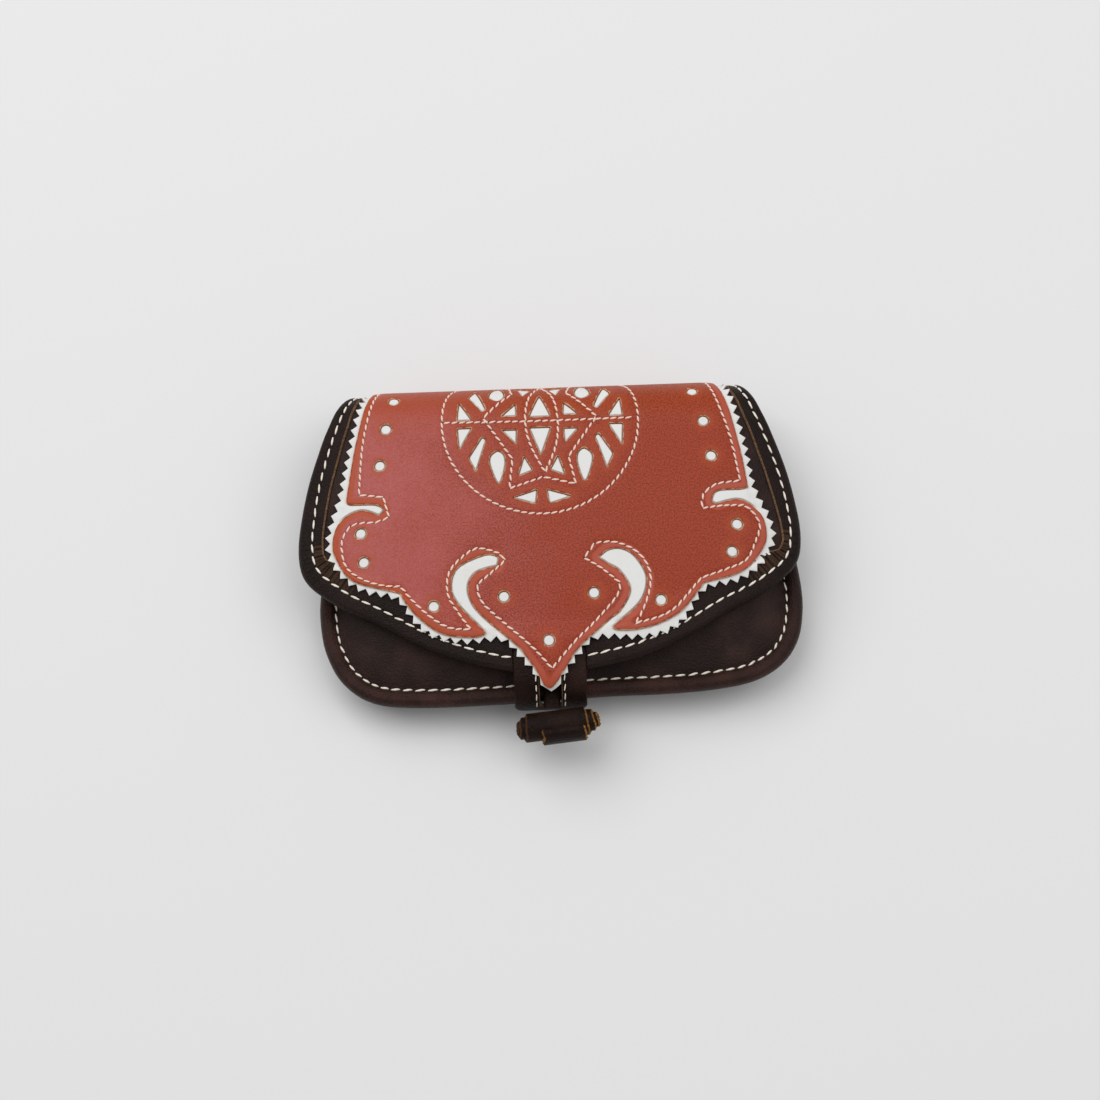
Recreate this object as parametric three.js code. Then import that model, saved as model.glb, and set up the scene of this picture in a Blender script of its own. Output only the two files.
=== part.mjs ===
import * as THREE from "three";

// A leather flap pouch that lies on its back: +X across, +Y towards the fold, +Z up. Millimetres.
// Flat patterns use x across and v along the leather: v is 0 where the fold runs out into the
// flap's front, grows towards the tip and is negative over the fold and down the back.

// Leather thicknesses, and the clearances between pieces that touch
const hide = 2.2;
const underlayThickness = 1.1;
const appliqueThickness = 1.5;
const bindingThickness = 1.2;
const tongueThickness = 2;
const layerGap = 0.2;
const seatGap = 0.3;

// Fold and flap
const foldRadius = 21;
const frontRadius = 600;
const hingeHalfWidth = 87;
const turnover = 17;
const droopStart = 62;
const droopRate = 0.004;
const droopFromV = -28;
const droopFullV = 32;

// Bindings: reach over the edge at the flap's sides and elsewhere, and where the wide stretch lies
const sideBindingReach = 11;
const narrowBindingReach = 4;
const bindingRound = 0.8;
const wideFromV = -25;
const wideFullV = 15;
const narrowFromV = 62;
const narrowFullV = 92;

// Pinked edge, punched holes and medallion
const toothPitch = 5;
const toothDepth = 2.4;
const holeRadius = 2.6;
const medallionX = -2.4;
const medallionV = 0.4;
const upperWindowShift = 1.5;
const upperWindowScale = 0.85;

// Closing tongue with its slot, bent down over the rim
const tongueX = -1.7;
const tongueWidth = 31;
const tongueStart = 100;
const tongueEnd = 134.5;
const tongueCorner = 6;
const bendStart = 113;
const bendRadius = 13;
const slotWidth = 9.4;
const slotStart = 107;
const slotEnd = 130;
const liftRun = 9;
const liftMargin = 3.5;
const slotCorner = 3.4;

// Pouch
const rimHeight = 15;
const mouthRimHeight = 3;
const mouthRimRun = 50;
const flangeWidth = 7.2;
const flangeMargin = 0.7;
const flapClearance = 0.5;
const frontRun = 36;
const backRun = 20;

// Toggle
const toggleRadius = 6.5;
const toggleLength = 36;
const wrapThickness = 0.9;
const wrapStep = 2.4;
const toggleX = 0.8;
const toggleTilt = THREE.MathUtils.degToRad(5.5);
const toggleRise = 4.3;
const toggleClearance = 0.5;
const shankOffset = 0.4;
const shankWidth = 7;
const shankThickness = 2;

// Spacing of points along the flap's edge and along cut curves, and of the fold's and the bend's steps
const edgeSpacing = 5.5;
const curveSpacing = 4.6;
const foldSteps = 14;
const bendSpacing = 3.2;
const holeSides = 12;
const toggleSides = 20;

// Worked out from the sizes above
const hingeV = (-Math.PI / 2) * foldRadius;
const backEndV = -Math.PI * foldRadius;
const hingeGap = layerGap;
const underlayLow = layerGap;
const underlayHigh = underlayLow + underlayThickness;
const appliqueLow = underlayHigh + layerGap;
const appliqueHigh = appliqueLow + appliqueThickness;
const tongueLow = layerGap;
const tongueHigh = tongueLow + tongueThickness;
const edgeInset = bindingThickness + layerGap;
const bendAngle = bendStart / frontRadius;
const bendCentreReach = (frontRadius - bendRadius) * Math.sin(bendAngle);
const bendCentreZ = 2 * foldRadius - frontRadius + (frontRadius - bendRadius) * Math.cos(bendAngle);
const outerWrapLength = toggleLength - 4 * wrapStep;
const tiltReach = (outerWrapLength / 2) * Math.sin(toggleTilt);
const toggleReach = bendCentreReach + bendRadius + tongueHigh + toggleClearance + tiltReach + toggleRadius;
const foldY = (toggleReach + tiltReach + toggleRadius - foldRadius - appliqueHigh) / 2;

// Half of the flap's bound edge, from the hinge line to the tongue, with the other half mirrored
const flapSide = [
  [94.8, -7], [99.7, 5.5], [106, 24], [109.3, 40], [110.5, 52], [109.4, 62],
  [105.8, 69], [99.5, 75], [90, 82], [75, 90], [55.5, 100.7], [36, 108],
];
const flapTipV = 112.3;

// Middle line of the underlay's teeth, down the left side, round the tip and up the right side
const underlayLine = [
  [7 - hingeHalfWidth, hingeV - turnover - 3], [6.5 - hingeHalfWidth, -24], [-84, -4], [-88, 15], [-91.2, 31],
  [-95.2, 44], [-96.7, 52], [-95.5, 59], [-90, 68], [-80, 75.4], [-66.2, 79.4], [-59.5, 88.5], [-52, 95.5],
  [-38, 99], [-21.7, 98.5], [-14.6, 105.6], [-9, 112], [-5.4, 117], [-3.2, 119.3], [0.6, 119.3], [2.6, 116.4],
  [6.2, 111.4], [10.9, 105.8], [18.4, 99], [36, 99.4], [47.5, 97.8], [56.5, 92], [65.5, 79.7], [80, 76],
  [90, 69.5], [96.5, 60], [97.8, 54], [95.5, 45.5], [90.5, 34], [87.5, 14], [84, -4],
  [hingeHalfWidth - 6.7, -24], [hingeHalfWidth - 7.5, hingeV - turnover - 3],
];

// Edge of the red leather as runs of smooth curve that meet at corners
const appliqueRuns = [
  [
    [10.5 - hingeHalfWidth, hingeV - turnover], [9.5 - hingeHalfWidth, -24],
    [-82, -1], [-85, 13], [-88.3, 34],
  ],
  [[-88.3, 34], [-86.5, 36.2], [-75.5, 37.2], [-71.7, 39.6], [-73.5, 42.2]],
  [
    [-73.5, 42.2], [-80.7, 39.4], [-87.4, 41], [-92.4, 45.5],
    [-94.4, 53], [-92.8, 60], [-84.8, 71], [-64.8, 77.4],
  ],
  [[-64.8, 77.4], [-61.5, 83.2], [-54.8, 90.4], [-46.3, 95.8], [-35, 97.5], [-29.6, 96.8], [-28.3, 95.4]],
  [[-28.3, 95.4], [-39.2, 83.7], [-42.8, 75.7], [-39.9, 67.1], [-28.6, 61.8], [-22.5, 62.7], [-22.9, 66.6]],
  [[-22.9, 66.6], [-28.6, 67.8], [-32.9, 69.8], [-35.6, 74.5], [-34.9, 80.7], [-30.3, 87.8], [-14.1, 102.9]],
  [
    [-14.1, 102.9], [-7.8, 112], [-4.5, 117.3], [-2, 118.5],
    [0.2, 117.4], [4.3, 112.8], [10.1, 104.4], [17.6, 97.6],
  ],
  [[17.6, 97.6], [24.7, 91.4], [29.5, 87.7], [33.9, 79], [29.8, 70.7], [24.8, 67.3], [21, 64.4]],
  [[21, 64.4], [25.1, 61.2], [30.9, 60.8], [36.7, 64.7], [41.1, 73.9], [37.8, 84.3], [25.9, 94.6]],
  [[25.9, 94.6], [26.6, 96.2], [35.1, 96.5], [45.4, 94.3], [54.2, 89.9], [59.1, 85.3], [65.6, 77.3]],
  [[65.6, 77.3], [82.3, 72.5], [92.8, 61], [94.4, 52], [91.7, 45.3], [83.6, 40], [72.9, 42.2]],
  [[72.9, 42.2], [71.1, 40.8], [73.7, 36.3], [84, 35.2], [87.6, 34.1]],
  [
    [87.6, 34.1], [85.9, 20], [82.3, 1],
    [hingeHalfWidth - 10.5, -24], [hingeHalfWidth - 11.5, hingeV - turnover],
  ],
];
const holeCentres = [
  [-67.4, -12], [-70.5, 2.5], [-73.2, 19.5], [-81.6, 50], [-80.3, 63], [-50.4, 83.6], [-20.3, 80.3],
  [-1.7, 100], [66, -12], [69.7, 3.5], [72.1, 20], [81.5, 51.5], [78.5, 63.7], [46.8, 84], [18.3, 80],
];

// Windows of the medallion's lower right quarter, from its centre
const cornerWindows = [
  [[30.3, 3], [36.6, 3], [35.8, 13.2]],
  [[24, 8.8], [25.8, 7.4], [31.7, 17], [28.6, 23.4]],
  [[16.9, 4.4], [10.4, 4.4], [10.8, 11.2]],
  [[7.5, 17.2], [3.9, 23.5], [10.2, 26]],
  [[2.3, 32.6], [12.9, 36], [3.2, 39]],
];
const dropWindow = [
  [19, 14.1], [22.2, 16.7], [22.2, 21.4], [18.8, 29.2], [15.9, 21], [16.4, 16], [19, 14.1],
];
const lensWindow = [[-4.7, 3.7], [4.7, 3.7], [0, 16.8]];

// Pouch rim from the left end of the mouth round the bottom to the right end, y from the fold's middle
const rimLine = [
  [-88, 0], [-93, -22], [-98.7, -48], [-102, -70], [-101.8, -84], [-99, -97.3], [-91.7, -110.5],
  [-79, -119.4], [-60, -122.2], [-25, -122.1], [20, -120.2], [50, -119.8], [72, -118.3], [88, -115],
  [100, -107.8], [107.2, -97.5], [110.2, -85], [110.5, -73], [108.5, -56], [103, -34], [95.5, -14], [88, 0],
];
const rimSteps = 42;
const ringInsets = [edgeInset, flangeWidth, flangeWidth + 6];
const ringScales = [0.93, 0.84, 0.7, 0.4];
const scaleSpan = 95;

const ease = THREE.MathUtils.smoothstep;
const asVectors = (points) => points.map(([a, b]) => new THREE.Vector2(a, b));
const mirrored = (points) => points.map(([x, v]) => [-x, v]);

// Points spaced evenly along a smooth curve
function smoothLine(points, spacing) {
  const curve = new THREE.SplineCurve(asVectors(points));
  const steps = Math.max(1, Math.round(curve.getLength() / spacing));
  return curve.getSpacedPoints(steps).map((point) => [point.x, point.y]);
}

function smoothLoop(points, spacing) {
  return smoothLine(points, spacing).slice(0, -1);
}

// Unit normals to the left of the way an open line runs
function leftNormals(line) {
  return line.map((point, i) => {
    const before = line[Math.max(0, i - 1)];
    const after = line[Math.min(line.length - 1, i + 1)];
    const length = Math.hypot(after[0] - before[0], after[1] - before[1]);
    return [-(after[1] - before[1]) / length, (after[0] - before[0]) / length];
  });
}

// Zigzag cut along a line, with its ends left on the line
function pinked(points) {
  const curve = new THREE.SplineCurve(asVectors(points));
  const teeth = Math.round(curve.getLength() / toothPitch);
  const line = curve.getSpacedPoints(2 * teeth).map((point) => [point.x, point.y]);
  const normals = leftNormals(line);
  return line.map(([x, v], i) => {
    const inside = i > 0 && i < line.length - 1;
    const offset = inside ? (i % 2 === 0 ? 0.5 : -0.5) * toothDepth : 0;
    return [x + offset * normals[i][0], v + offset * normals[i][1]];
  });
}

function circle([x, v], radius) {
  return Array.from({ length: holeSides }, (_, i) => {
    const angle = (2 * Math.PI * i) / holeSides;
    return [x + radius * Math.cos(angle), v + radius * Math.sin(angle)];
  });
}

function roundedBar(left, right, top, bottom, radius) {
  const centres = [
    [right - radius, bottom - radius], [left + radius, bottom - radius],
    [left + radius, top + radius], [right - radius, top + radius],
  ];
  const steps = 4;
  return centres.flatMap(([x, v], corner) => Array.from({ length: steps + 1 }, (_, i) => {
    const angle = (Math.PI / 2) * (corner + i / steps);
    return [x + radius * Math.cos(angle), v + radius * Math.sin(angle)];
  }));
}

function signedArea(loop) {
  return THREE.ShapeUtils.area(asVectors(loop));
}

// An outline and its holes, turned opposite ways
function pattern(outline, holes = []) {
  const turned = (loop, sign) => (signedArea(loop) * sign > 0 ? loop : [...loop].reverse());
  return [turned(outline, 1), ...holes.map((hole) => turned(hole, -1))];
}

// Splits loops where one coordinate passes a limit, into the loops below it and above it
function splitLoops(loops, axis, limit) {
  const sides = [[], []];
  const chains = [[], []];
  const crossings = [];
  const sideOf = (point) => (point[axis] > limit ? 1 : 0);
  const cross = (from, to) => {
    const share = (limit - from[axis]) / (to[axis] - from[axis]);
    const point = [0, 1].map((k) => (k === axis ? limit : from[k] + share * (to[k] - from[k])));
    crossings.push({ point, rising: sideOf(to) === 1 });
    return point;
  };
  for (const loop of loops) {
    const last = loop.findIndex((point, i) => sideOf(point) !== sideOf(loop[(i + 1) % loop.length]));
    if (last < 0) {
      sides[sideOf(loop[0])].push(loop);
      continue;
    }
    const turned = [...loop.slice(last + 1), ...loop.slice(0, last + 1)];
    const start = cross(turned[turned.length - 1], turned[0]);
    let chain = [start];
    turned.forEach((point, i) => {
      const previous = turned[i - 1];
      if (i > 0 && sideOf(previous) !== sideOf(point)) {
        const crossing = cross(previous, point);
        chain.push(crossing);
        chains[sideOf(previous)].push(chain);
        chain = [crossing];
      }
      chain.push(point);
    });
    chain.push(start);
    chains[sideOf(turned[turned.length - 1])].push(chain);
  }
  crossings.sort((a, b) => a.point[1 - axis] - b.point[1 - axis]);
  // Crossings at one place are ordered so that rising and falling ones alternate
  crossings.forEach(({ rising }, i) => {
    const next = crossings[i + 1];
    if (i % 2 === 0 && next.rising === rising) crossings.splice(i + 1, 2, crossings[i + 2], next);
  });
  const mate = (i) => crossings[i % 2 === 0 ? i + 1 : i - 1].point;
  const partner = new Map(crossings.map(({ point }, i) => [point, mate(i)]));
  return sides.map((kept, side) => {
    const byStart = new Map(chains[side].map((chain) => [chain[0], chain]));
    const waiting = new Set(chains[side]);
    for (const first of chains[side]) {
      if (!waiting.has(first)) continue;
      const loop = [];
      let chain = first;
      do {
        waiting.delete(chain);
        loop.push(...chain);
        chain = byStart.get(partner.get(chain[chain.length - 1]));
      } while (chain !== first);
      kept.push(loop);
    }
    return kept;
  });
}

// Cuts a pattern into cells along lines of equal x and of equal v
function cellsOf(loops, xCuts, vCuts) {
  const bands = (pieces, axis, cuts) => {
    let rest = pieces;
    const sorted = [...cuts].sort((a, b) => a - b);
    const apart = sorted.filter((cut, i) => i === 0 || cut - sorted[i - 1] > 0.01);
    const parts = apart.map((cut) => {
      const [below, above] = splitLoops(rest, axis, cut);
      rest = above;
      return below;
    });
    return [...parts, rest];
  };
  return bands(loops, 1, vCuts).flatMap((band) => bands(band, 0, xCuts));
}

function holds(loop, [x, v]) {
  let inside = false;
  loop.forEach(([ax, av], i) => {
    const [bx, bv] = loop[(i + 1) % loop.length];
    if (av > v !== bv > v && x < ax + ((v - av) / (bv - av)) * (bx - ax)) inside = !inside;
  });
  return inside;
}

// Triangles over one cell as corner points, with the upper face outwards
function cellTriangles(loops) {
  const outlines = loops.filter((loop) => signedArea(loop) > 0);
  const holes = loops.filter((loop) => signedArea(loop) <= 0);
  return outlines.flatMap((outline) => {
    const inner = holes.filter((hole) => holds(outline, hole[0]));
    const corners = [outline, ...inner].flat();
    const faces = THREE.ShapeUtils.triangulateShape(asVectors(outline), inner.map(asVectors));
    return faces.map((face) => {
      const triangle = face.map((i) => corners[i]);
      return signedArea(triangle) < 0 ? triangle : triangle.reverse();
    });
  });
}

// Closed solid from points and triangles, faces turned outwards
function solid(points, triangles) {
  const volume = triangles.reduce((sum, [a, b, c]) => {
    return sum + points[a].dot(new THREE.Vector3().crossVectors(points[b], points[c]));
  }, 0);
  const faces = volume < 0 ? triangles.map(([a, b, c]) => [a, c, b]) : triangles;
  const geometry = new THREE.BufferGeometry().setFromPoints(points);
  geometry.setIndex(faces.flat());
  geometry.computeVertexNormals();
  return geometry;
}

// Solid between two matching surfaces, closed along their open edges
function thicken(upper, lower, triangles) {
  const open = new Map();
  for (const [a, b, c] of triangles) {
    for (const [from, to] of [[a, b], [b, c], [c, a]]) {
      if (!open.delete(`${to} ${from}`)) open.set(`${from} ${to}`, [from, to]);
    }
  }
  const count = upper.length;
  const under = triangles.map(([a, b, c]) => [c + count, b + count, a + count]);
  const walls = [...open.values()].flatMap(([a, b]) => [[b, a, a + count], [b, a + count, b + count]]);
  return solid([...upper, ...lower], [...triangles, ...under, ...walls]);
}

// A flat pattern bent into place, between two heights above the hide's outer face
function bentSheet(loops, low, high, cuts, place) {
  const indexOf = new Map();
  const spots = [];
  const index = (spot) => {
    const key = spot.map((value) => value.toFixed(3)).join(" ");
    if (!indexOf.has(key)) {
      indexOf.set(key, spots.length);
      spots.push(spot);
    }
    return indexOf.get(key);
  };
  const triangles = cellsOf(loops, cuts.x, cuts.v)
    .flatMap(cellTriangles)
    .map((triangle) => triangle.map(index))
    .filter(([a, b, c]) => a !== b && b !== c && c !== a);
  const upper = spots.map(([x, v]) => place(x, v, high));
  const lower = spots.map(([x, v]) => place(x, v, low));
  return thicken(upper, lower, triangles);
}

// Solid swept through rings of points, one ring for each station
function sweep(rings, section) {
  const size = section.length;
  const triangles = [];
  for (let station = 0; station + 1 < rings.length; station += 1) {
    for (let i = 0; i < size; i += 1) {
      const a = station * size + i;
      const b = station * size + ((i + 1) % size);
      triangles.push([a, b, b + size], [a, b + size, a + size]);
    }
  }
  const cap = THREE.ShapeUtils.triangulateShape(asVectors(section), []);
  const turn = signedArea(section) > 0 ? 1 : -1;
  const last = (rings.length - 1) * size;
  for (const face of cap) {
    const forward = signedArea(face.map((i) => section[i])) * turn > 0;
    const [a, b, c] = forward ? face : [...face].reverse();
    triangles.push([c, b, a], [a + last, b + last, c + last]);
  }
  return solid(rings.flat(), triangles);
}

// The flap's edges hang a little lower than its middle
function droop(x, v) {
  const beyond = Math.max(0, Math.abs(x) - droopStart);
  return droopRate * beyond ** 2 * ease(v, droopFromV, droopFullV);
}

// Place in space of a point on the leather, at a height above the hide's outer face
function sheetPoint(x, v, height) {
  if (v > bendStart) {
    const angle = bendAngle + (v - bendStart) / bendRadius;
    const reach = bendRadius + height;
    return new THREE.Vector3(
      x, foldY - bendCentreReach - reach * Math.sin(angle), bendCentreZ + reach * Math.cos(angle),
    );
  }
  const radius = v < 0 ? foldRadius : frontRadius;
  const angle = v / radius;
  const y = foldY - (radius + height) * Math.sin(angle);
  const z = 2 * foldRadius - radius + (radius + height) * Math.cos(angle);
  return new THREE.Vector3(x, y, z - droop(x, v));
}

// The decorated layers rise over the end of the tongue
function decoratedPoint(x, v, height) {
  const across = Math.abs(x - tongueX) - tongueWidth / 2 - liftMargin;
  const along = ease(v, tongueStart - liftRun, tongueStart - 1);
  return sheetPoint(x, v, height + (tongueThickness + layerGap) * along * (1 - ease(across, 0, liftRun)));
}

// C-shaped section of a binding round an edge, as reach inwards and height
function bindingSection(low, high, upperReach, lowerReach) {
  const middle = (low + high) / 2;
  const half = (high - low) / 2 + seatGap + bindingThickness;
  const nose = bindingThickness + bindingRound;
  const steps = 4;
  const round = Array.from({ length: steps + 1 }, (_, i) => {
    const angle = Math.PI * (i / steps - 0.5);
    return [nose * (1 - Math.cos(angle)), middle + half * Math.sin(angle)];
  });
  return [
    [upperReach, high + seatGap], [bindingThickness, high + seatGap], [bindingThickness, low - seatGap],
    [lowerReach, low - seatGap], [lowerReach, middle - half], ...round, [upperReach, middle + half],
  ];
}

const foldCuts = Array.from({ length: foldSteps + 1 }, (_, i) => backEndV * (1 - i / foldSteps));
const frontCuts = [9, 19, 30, 48, 66, 84];
const bendCuts = Array.from({ length: 8 }, (_, i) => bendStart + bendSpacing * i);
const sideCuts = [0, 13, 25, 37].flatMap((step) => [-droopStart - step, droopStart + step]);
const liftCuts = [0, 3, 6, 8].map((step) => tongueStart - liftRun + step);
const liftSides = [0, 3, 6, 9].flatMap((step) => {
  const half = tongueWidth / 2 + liftMargin + step;
  return [tongueX - half, tongueX + half];
});
const hideCuts = { x: sideCuts, v: [...foldCuts, ...frontCuts] };
const layerCuts = {
  x: [...sideCuts, ...liftSides],
  v: [...foldCuts, ...frontCuts, ...liftCuts, ...bendCuts],
};

// Flap hide and its bound edges
function flapEdge(sign) {
  const end = [Math.abs(sign * tongueX + tongueWidth / 2 + seatGap), flapTipV];
  const side = [[hingeHalfWidth, hingeV + hingeGap / 2], ...flapSide, end];
  return smoothLine(sign > 0 ? side : mirrored(side), edgeSpacing);
}

// Inward normals of that edge, squared to the hinge line and to the tongue at its ends
function flapNormals(line, sign) {
  const normals = leftNormals(line).map(([x, v]) => [sign * x, sign * v]);
  normals[0] = [-sign, 0];
  normals[normals.length - 1] = [0, -1];
  return normals;
}

function bindingRing(section, [x, v], [nx, nv], sink) {
  return section.map(([reach, height]) => sheetPoint(x + reach * nx, v + reach * nv, height - sink));
}

function flapBinding(sign) {
  const line = flapEdge(sign);
  const normals = flapNormals(line, sign);
  const sections = line.map(([, v]) => {
    const share = ease(v, wideFromV, wideFullV) * (1 - ease(v, narrowFromV, narrowFullV));
    const reach = THREE.MathUtils.lerp(narrowBindingReach, sideBindingReach, share);
    return bindingSection(-hide, 0, reach, narrowBindingReach);
  });
  return sweep(line.map((point, i) => bindingRing(sections[i], point, normals[i], 0)), sections[0]);
}

function flapHide() {
  const inset = [-1, 1].map((sign) => {
    const line = flapEdge(sign);
    const normals = flapNormals(line, sign);
    return line.map(([x, v], i) => [x + edgeInset * normals[i][0], v + edgeInset * normals[i][1]]);
  });
  return bentSheet(pattern([...inset[0], ...inset[1].reverse()]), -hide, 0, hideCuts, sheetPoint);
}

// Binding of the back's edges, from the hinge line down to the mouth
function backBinding(sign) {
  const steps = 8;
  const section = bindingSection(-hide, 0, narrowBindingReach, narrowBindingReach);
  const rings = Array.from({ length: steps + 1 }, (_, i) => {
    const share = i / steps;
    const x = sign * THREE.MathUtils.lerp(hingeHalfWidth, Math.abs(rimLine[0][0]), share);
    const v = THREE.MathUtils.lerp(hingeV - hingeGap / 2, backEndV + seatGap, share);
    return bindingRing(section, [x, v], [-sign, 0], mouthRimHeight * share ** 2);
  });
  return sweep(rings, section);
}

// Underlay and applique patterns, cut at the hinge line
function cutAtHinge(loops) {
  const below = splitLoops(loops, 1, hingeV - hingeGap / 2)[0];
  const above = splitLoops(loops, 1, hingeV + hingeGap / 2)[1];
  return { back: below, front: above };
}

function underlayPattern() {
  const first = underlayLine[0];
  const last = underlayLine[underlayLine.length - 1];
  const edge = pinked(underlayLine);
  const top = pinked([last, first]);
  return pattern([...edge.slice(0, -1), ...top.slice(0, -1)]);
}

function medallionWindows() {
  const drop = smoothLoop(dropWindow, curveSpacing);
  const lower = [...cornerWindows, drop];
  const both = [...lower, ...lower.map(mirrored), lensWindow];
  const upper = both.map((loop) => loop.map(([x, v]) => [x, upperWindowShift - upperWindowScale * v]));
  return [...both, ...upper].map((loop) => loop.map(([x, v]) => [x + medallionX, v + medallionV]));
}

function appliquePattern() {
  const outline = appliqueRuns.flatMap((run) => smoothLoop(run, curveSpacing));
  const end = appliqueRuns[appliqueRuns.length - 1].slice(-1);
  const holes = holeCentres.map((centre) => circle(centre, holeRadius));
  return pattern([...outline, ...end], [...holes, ...medallionWindows()]);
}

function tonguePattern() {
  const half = tongueWidth / 2;
  const slot = slotWidth / 2;
  const outline = roundedBar(tongueX - half, tongueX + half, tongueStart, tongueEnd, tongueCorner);
  return pattern(outline, [roundedBar(tongueX - slot, tongueX + slot, slotStart, slotEnd, slotCorner)]);
}

// Heights of the pouch panels, y from the fold's middle and u inwards from the rim
function rimHeightAt(y) {
  return THREE.MathUtils.lerp(mouthRimHeight, rimHeight, ease(-y, 0, mouthRimRun));
}

function rise(u, run) {
  return Math.sin((Math.PI / 2) * THREE.MathUtils.clamp((u - flangeWidth) / run, 0, 1));
}

function backHeight(y, u) {
  return rimHeightAt(y) * (1 - rise(u, backRun));
}

function frontHeight(y, u) {
  const seat = rimHeightAt(y) + hide + layerGap;
  const flapUnder = 2 * foldRadius - frontRadius + Math.sqrt((frontRadius - hide) ** 2 - y ** 2);
  return THREE.MathUtils.lerp(seat, flapUnder - flapClearance - hide, rise(u, frontRun));
}

const rimCurve = new THREE.SplineCurve(asVectors(rimLine));
const rimStations = rimCurve.getSpacedPoints(rimSteps).map(({ x, y }) => [x, y]);
const rimNormals = leftNormals(rimStations);
rimNormals[0] = [1, 0];
rimNormals[rimSteps] = [-1, 0];

// Rings of spots on a panel, from its edge to the middle of the mouth
function panelSpots() {
  const deepest = ringInsets[ringInsets.length - 1];
  const rings = [
    ...ringInsets.map((inset) => ({ inset, scale: 1 })),
    ...ringScales.map((scale) => ({ inset: deepest, scale })),
  ];
  const spots = rimStations.flatMap(([x, y], i) => rings.map(({ inset, scale }) => {
    const [nx, ny] = rimNormals[i];
    return [(x + inset * nx) * scale, (y + inset * ny) * scale, inset + (1 - scale) * scaleSpan];
  }));
  const size = rings.length;
  const pole = spots.length;
  const triangles = [];
  for (let i = 0; i < rimSteps; i += 1) {
    const row = i * size;
    for (let k = 0; k + 1 < size; k += 1) {
      const next = row + size + k;
      triangles.push([row + k, next, next + 1], [row + k, next + 1, row + k + 1]);
    }
    triangles.push([row + size - 1, row + 2 * size - 1, pole]);
  }
  const left = Array.from({ length: size }, (_, k) => k);
  const right = left.map((k) => rimSteps * size + k).reverse();
  return { spots: [...spots, [0, 0, deepest + scaleSpan]], triangles, mouth: [...left, pole, ...right] };
}

function frontPanel() {
  const { spots, triangles } = panelSpots();
  const lower = spots.map(([x, y, u]) => new THREE.Vector3(x, foldY + y, frontHeight(y, u)));
  const upper = lower.map((point) => new THREE.Vector3(point.x, point.y, point.z + hide));
  return thicken(upper, lower, triangles);
}

// The back runs on from the mouth line round the lower half of the fold to the hinge line
function backPanel() {
  const { spots, triangles, mouth } = panelSpots();
  const outer = spots.map(([x, y, u]) => new THREE.Vector3(x, foldY + y, backHeight(y, u)));
  const inner = outer.map((point) => new THREE.Vector3(point.x, point.y, point.z + hide));
  const steps = 8;
  const edge = Math.abs(rimLine[0][0]);
  let previous = mouth;
  for (let j = 1; j <= steps; j += 1) {
    const share = j / steps;
    const v = THREE.MathUtils.lerp(backEndV, hingeV - hingeGap / 2, share);
    const squeeze = THREE.MathUtils.lerp(1, (hingeHalfWidth - edgeInset) / (edge - edgeInset), share);
    const row = mouth.map((spot) => {
      const [x, y, u] = spots[spot];
      const sink = backHeight(y, u) * (1 - share) ** 2;
      outer.push(sheetPoint(x * squeeze, v, -sink));
      inner.push(sheetPoint(x * squeeze, v, -sink - hide));
      return outer.length - 1;
    });
    for (let i = 0; i + 1 < row.length; i += 1) {
      triangles.push([previous[i], previous[i + 1], row[i + 1]], [previous[i], row[i + 1], row[i]]);
    }
    previous = row;
  }
  return thicken(inner, outer, triangles);
}

function bodyBinding() {
  const reach = flangeWidth - flangeMargin;
  const section = bindingSection(0, 2 * hide + layerGap, reach, reach);
  const rings = rimStations.map(([x, y], i) => section.map(([reach, height]) => {
    const inY = y + reach * rimNormals[i][1];
    return new THREE.Vector3(x + reach * rimNormals[i][0], foldY + inY, rimHeightAt(inY) + height);
  }));
  return sweep(rings, section);
}

// A strip rolled up into stepped turns, its axis along X
function toggleRoll() {
  const turns = [2, 1, 0].map((turn) => {
    return { radius: toggleRadius - turn * wrapThickness, half: toggleLength / 2 - (2 - turn) * wrapStep };
  });
  const rising = turns.flatMap(({ radius, half }, i) => {
    const inner = i === 0 ? 0 : turns[i - 1].radius;
    return [[inner, -half], [radius, -half]];
  });
  const falling = [...rising].reverse().map(([radius, along]) => [radius, -along]);
  const geometry = new THREE.LatheGeometry(asVectors([...rising, ...falling]), toggleSides);
  return geometry.rotateZ(Math.PI / 2);
}

const shankLow = rimHeight + 2 * hide + layerGap + bindingThickness + 2 * seatGap;
const shankX = tongueX + shankOffset;
const shankTilt = (Math.abs(toggleX - shankX) + shankWidth / 2) * Math.tan(toggleTilt);
const shankFar = toggleReach - toggleRadius - shankTilt - seatGap;
const shankNear = Math.abs(rimLine[10][1]) - flangeWidth;

const leather = { metalness: 0, roughness: 0.55 };
const darkHide = new THREE.MeshStandardMaterial({ ...leather, color: 0x2c2220 });
const darkBinding = new THREE.MeshStandardMaterial({ ...leather, color: 0x362a28 });
const redHide = new THREE.MeshStandardMaterial({ ...leather, color: 0x9c4839 });
const whiteHide = new THREE.MeshStandardMaterial({ ...leather, color: 0xe6e4de, roughness: 0.8 });

const bag = new THREE.Group();

function add(name, geometry, material) {
  const mesh = new THREE.Mesh(geometry, material);
  mesh.name = name;
  bag.add(mesh);
  return mesh;
}

const underlay = cutAtHinge(underlayPattern());
const applique = cutAtHinge(appliquePattern());
const underlaySheet = (loops) => bentSheet(loops, underlayLow, underlayHigh, layerCuts, decoratedPoint);
const appliqueSheet = (loops) => bentSheet(loops, appliqueLow, appliqueHigh, layerCuts, decoratedPoint);

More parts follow.
